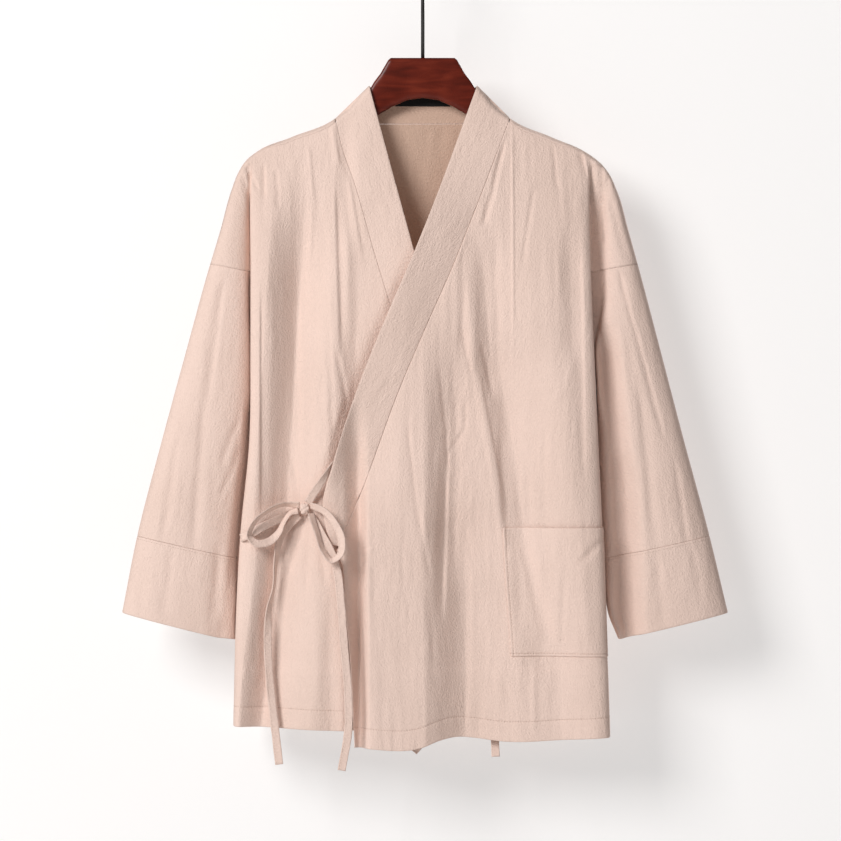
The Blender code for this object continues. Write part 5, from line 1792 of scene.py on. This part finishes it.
def black_wire():
    """Black enamelled wire, faintly worn and scratched."""
    made, tree, shader = new_finish("black_enamel")
    place = tree.nodes.new("ShaderNodeTexCoord").outputs["Object"]
    along = stretched_place(tree, place, (600.0, 600.0, 120.0))
    worn = noise_node(tree, along, 1.0, Detail=4.0)
    color = color_ramp(tree, worn, (0.0, (0.006, 0.006, 0.006)), (1.0, (0.022, 0.021, 0.020)))
    tree.links.new(color, shader.inputs["Base Color"])
    rough = math_node(tree, "ADD", math_node(tree, "MULTIPLY", worn, 0.3), 0.2)
    tree.links.new(rough, shader.inputs["Roughness"])
    bumped(tree, shader, worn, 0.1, 0.0002)
    shader.inputs["Coat Weight"].default_value = 0.3
    return made


def plain_finish(name, color, roughness):
    made, _, shader = new_finish(name)
    set_sockets(shader, {"Base Color": (*color, 1.0), "Roughness": roughness})
    set_sockets(shader, {"Specular IOR Level": 0.1})
    return made


def wall_finish():
    """A white wall that shows only from the front, so the back of the jacket can be seen too."""
    made, tree, shader = new_finish("white_wall")
    set_sockets(shader, {"Base Color": (*WALL_COLOR, 1.0), "Roughness": 1.0})
    set_sockets(shader, {"Specular IOR Level": 0.0, "Emission Color": (*WALL_GLOW_COLOR, 1.0)})
    set_sockets(shader, {"Emission Strength": WALL_GLOW})
    clear, mix = tree.nodes.new("ShaderNodeBsdfTransparent"), tree.nodes.new("ShaderNodeMixShader")
    side = tree.nodes.new("ShaderNodeNewGeometry")
    tree.links.new(side.outputs["Backfacing"], mix.inputs["Fac"])
    tree.links.new(shader.outputs["BSDF"], mix.inputs[1])
    tree.links.new(clear.outputs["BSDF"], mix.inputs[2])
    tree.links.new(mix.outputs["Shader"], tree.nodes["Material Output"].inputs["Surface"])
    return made


def stage_plane(name, corners, finish):
    data = bpy.data.meshes.new(name)
    data.from_pydata(corners, [], [(0, 1, 2, 3)])
    data.materials.append(finish)
    obj = add_object(name, data)
    return obj


def set_stage():
    wide, low, high = WALL_HALF_WIDTH, FLOOR_Z, WALL_TOP_Z
    upright = [(-wide, low), (wide, low), (wide, high), (-wide, high)]
    wall = stage_plane("wall", [(x, WALL_Y, z) for x, z in upright], wall_finish())
    wall.visible_shadow = False
    wall.visible_diffuse = False
    wall.visible_glossy = False
    far = FLOOR_HALF_WIDTH
    level = [(-far, -far), (far, -far), (far, far), (-far, far)]
    floor_finish = plain_finish("pale_floor", FLOOR_COLOR, 0.9)
    stage_plane("floor", [(x, y, FLOOR_Z) for x, y in level], floor_finish)
    world = bpy.context.scene.world or bpy.data.worlds.new("studio")
    bpy.context.scene.world = world
    world.use_nodes = True
    sky = world.node_tree.nodes["Background"]
    sky.inputs["Color"].default_value = (*SKY_COLOR, 1.0)
    sky.inputs["Strength"].default_value = SKY_STRENGTH
    for lamp in LAMPS:
        data = bpy.data.lights.new(lamp.name, "AREA")
        data.energy, data.size = lamp.power, lamp.size
        data.color = lamp.color
        obj = add_object(lamp.name, data)
        obj.location = lamp.place
        aim = Vector(LAMP_AIM) - Vector(lamp.place)
        obj.rotation_euler = aim.to_track_quat("-Z", "Y").to_euler()
    view = bpy.context.scene.view_settings
    view.view_transform = "Standard"
    view.look = "None"
    view.exposure = 0.0


def set_camera():
    data = bpy.data.cameras.new("photo_view")
    data.sensor_width = 36.0
    data.lens = CAMERA_LENS
    obj = add_object("photo_view", data)
    obj.location = CAMERA_PLACE
    obj.rotation_euler = (math.pi / 2, 0.0, 0.0)
    bpy.context.scene.camera = obj


def make_ties(cotton):
    lines = []
    for name, tie, seed, knotted in (
        ("side_tie", SIDE_TIE, 200, True),
        ("front_tie", FRONT_TIE, 210, True),
        ("bow_loop_right", RIGHT_LOOP, 220, True),
        ("bow_loop_left", LEFT_LOOP, 230, True),
        ("tie_end_right", RIGHT_TAIL, 240, False),
        ("tie_end_left", LEFT_TAIL, 250, False),
        ("inner_tie_left", INNER_TIE_LEFT, 260, False),
        ("inner_tie_right", INNER_TIE_RIGHT, 270, False),
    ):
        lines += strap(name, tie, cotton, seed)
    bow_knot(cotton)
    return lines


def make_front(name, side, seam, edge, hem, layer, counts, creases, cottons):
    """One front with its dropped shoulder. Returns its grid, before its edges, and stitch lines."""
    rows = rows_of(UPPER_ROWS, MIDDLE_ROWS, POCKET_ROWS, LOWER_ROWS)
    plain = front_grid(side, seam, edge, hem, layer, rows, counts, creases)
    flip = side < 0
    columns = (sum(counts) + 1 if layer > 0 else counts) + 1
    hem_line = stitch_line(plain[:, :columns], "foot", HEM_STITCH, flip)
    body_foot = plain[UPPER_ROWS + MIDDLE_ROWS + POCKET_ROWS :, :columns]
    vent_line = stitch_line(body_foot, "last", VENT_STITCH, flip)
    grid = hemmed(plain, slice(0, columns), flip)
    wide = grid.shape[1]
    grid = finished(grid, "first", SEWN_EDGE if layer > 0 else SOFT_EDGE, flip)
    columns += grid.shape[1] - wide
    tall = grid.shape[0]
    grid = finished(grid, "top", SOFT_EDGE, flip)
    armhole_row = UPPER_ROWS + grid.shape[0] - tall
    kept = np.ones((grid.shape[0] - 1, grid.shape[1] - 1), bool)
    kept[armhole_row:, columns - 1 :] = False
    cloth(name, grid, CLOTH_WALL, cottons, kept, flip)
    return plain, [hem_line, vent_line]


def make_back(cottons):
    rows = rows_of(UPPER_ROWS, MIDDLE_ROWS, POCKET_ROWS, LOWER_ROWS)
    panel = back_grid(rows)
    middle = HUMP_COLUMNS + SHOULDER_COLUMNS + NECK_COLUMNS
    body = slice(HUMP_COLUMNS, panel.shape[1] - HUMP_COLUMNS)
    hem_line = stitch_line(panel[:, body], "foot", HEM_STITCH, True)
    whole = over_ridge(panel)
    flap = len(whole) - len(panel)
    grid = hemmed(whole, body, True)
    out = np.maximum(middle - np.arange(grid.shape[1] - 1), np.arange(1, grid.shape[1]) - middle)
    over = (out > NECK_COLUMNS) & (out <= NECK_COLUMNS + SHOULDER_COLUMNS + 1)
    kept = np.ones((grid.shape[0] - 1, grid.shape[1] - 1), bool)
    kept[:flap] = over[None, :]
    kept[UPPER_ROWS + flap :, out > NECK_COLUMNS + SHOULDER_COLUMNS] = False
    cloth("back_panel", grid, CLOTH_WALL, cottons, kept, True)
    return [hem_line]


def make_sleeve(side, cottons):
    """One sleeve and its cuff. Returns their stitch lines."""
    word, flip = side_name(side), side < 0
    grid = ring_grid(side, SLEEVE_LEVELS, SLEEVE_ROWS)
    grid = finished(finished(grid, "foot", SEWN_EDGE, flip), "top", SOFT_EDGE, flip)
    cloth(word + "_sleeve", grid, CLOTH_WALL, cottons, None, flip)
    band = ring_grid(side, CUFF_LEVELS, CUFF_ROWS)
    line = stitch_line(band, "top", CUFF_STITCH, flip)
    band = finished(finished(band, "foot", FOLDED_EDGE, flip), "top", SEWN_EDGE, flip)
    cloth(word + "_cuff", band, DOUBLE_WALL, cottons, None, flip)
    return [line]


def make_collar(cottons):
    grid = finished(finished(collar_grid(), "first", FOLDED_EDGE), "last", SOFT_EDGE)
    cloth("collar_band", grid, DOUBLE_WALL, cottons)


def make_pocket(front, cottons):
    grid = pocket_grid(front, LEFT_COLUMNS[0])
    lines = [stitch_line(grid, edge, PATCH_STITCH) for edge in ("first", "last", "foot")]
    for edge in ("first", "last", "foot"):
        grid = finished(grid, edge, PATCH_EDGE)
    grid = finished(grid, "top", FOLDED_EDGE)
    cloth("patch_pocket", grid, CLOTH_WALL, cottons)
    return lines


def main():
    set_camera()
    weave = woven_crinkle_group()
    outer, inner = (CLOTH_LIGHT, CLOTH_DARK), (SHADED_INSIDE_LIGHT, SHADED_INSIDE_DARK)
    plain = (1.0, CLOTH_BUMP, CLOTH_THREADS)
    cotton = cloth_finish("crinkled_cotton", weave, outer, *plain, 0.12)
    # The inside faces take the painted-shade tones and the painted glow.
    inside = cloth_finish("cotton_inside_painted_shade", weave, inner, *plain, 0.05, INSIDE_GLOW)
    cottons = (cotton, inside)
    black = (LABEL_LIGHT, LABEL_DARK)
    woven = cloth_finish("black_woven", weave, black, 0.1, 0.0003, 1600.0, 0.1)
    lines = make_ties(cotton)
    under = (UNDER_SEAM, UNDER_EDGE, UNDER_HEM, -1, RIGHT_COLUMNS, UNDER_CREASES)
    _, sewn = make_front("right_front", -1, *under, cottons)
    lines += sewn
    over = (OVER_SEAM, OVER_EDGE, OVER_HEM, 1, LEFT_COLUMNS, OVER_CREASES)
    left, sewn = make_front("left_front", 1, *over, cottons)
    lines += sewn
    lines += make_pocket(left, cottons)
    lines += make_back(cottons)
    for side in (-1, 1):
        lines += make_sleeve(side, cottons)
    make_collar(cottons)
    stitch_rows(lines, thread_finish())
    wooden_hanger(lacquered_wood())
    wire_hook(black_wire())
    neck_label(woven)
    set_stage()


main()
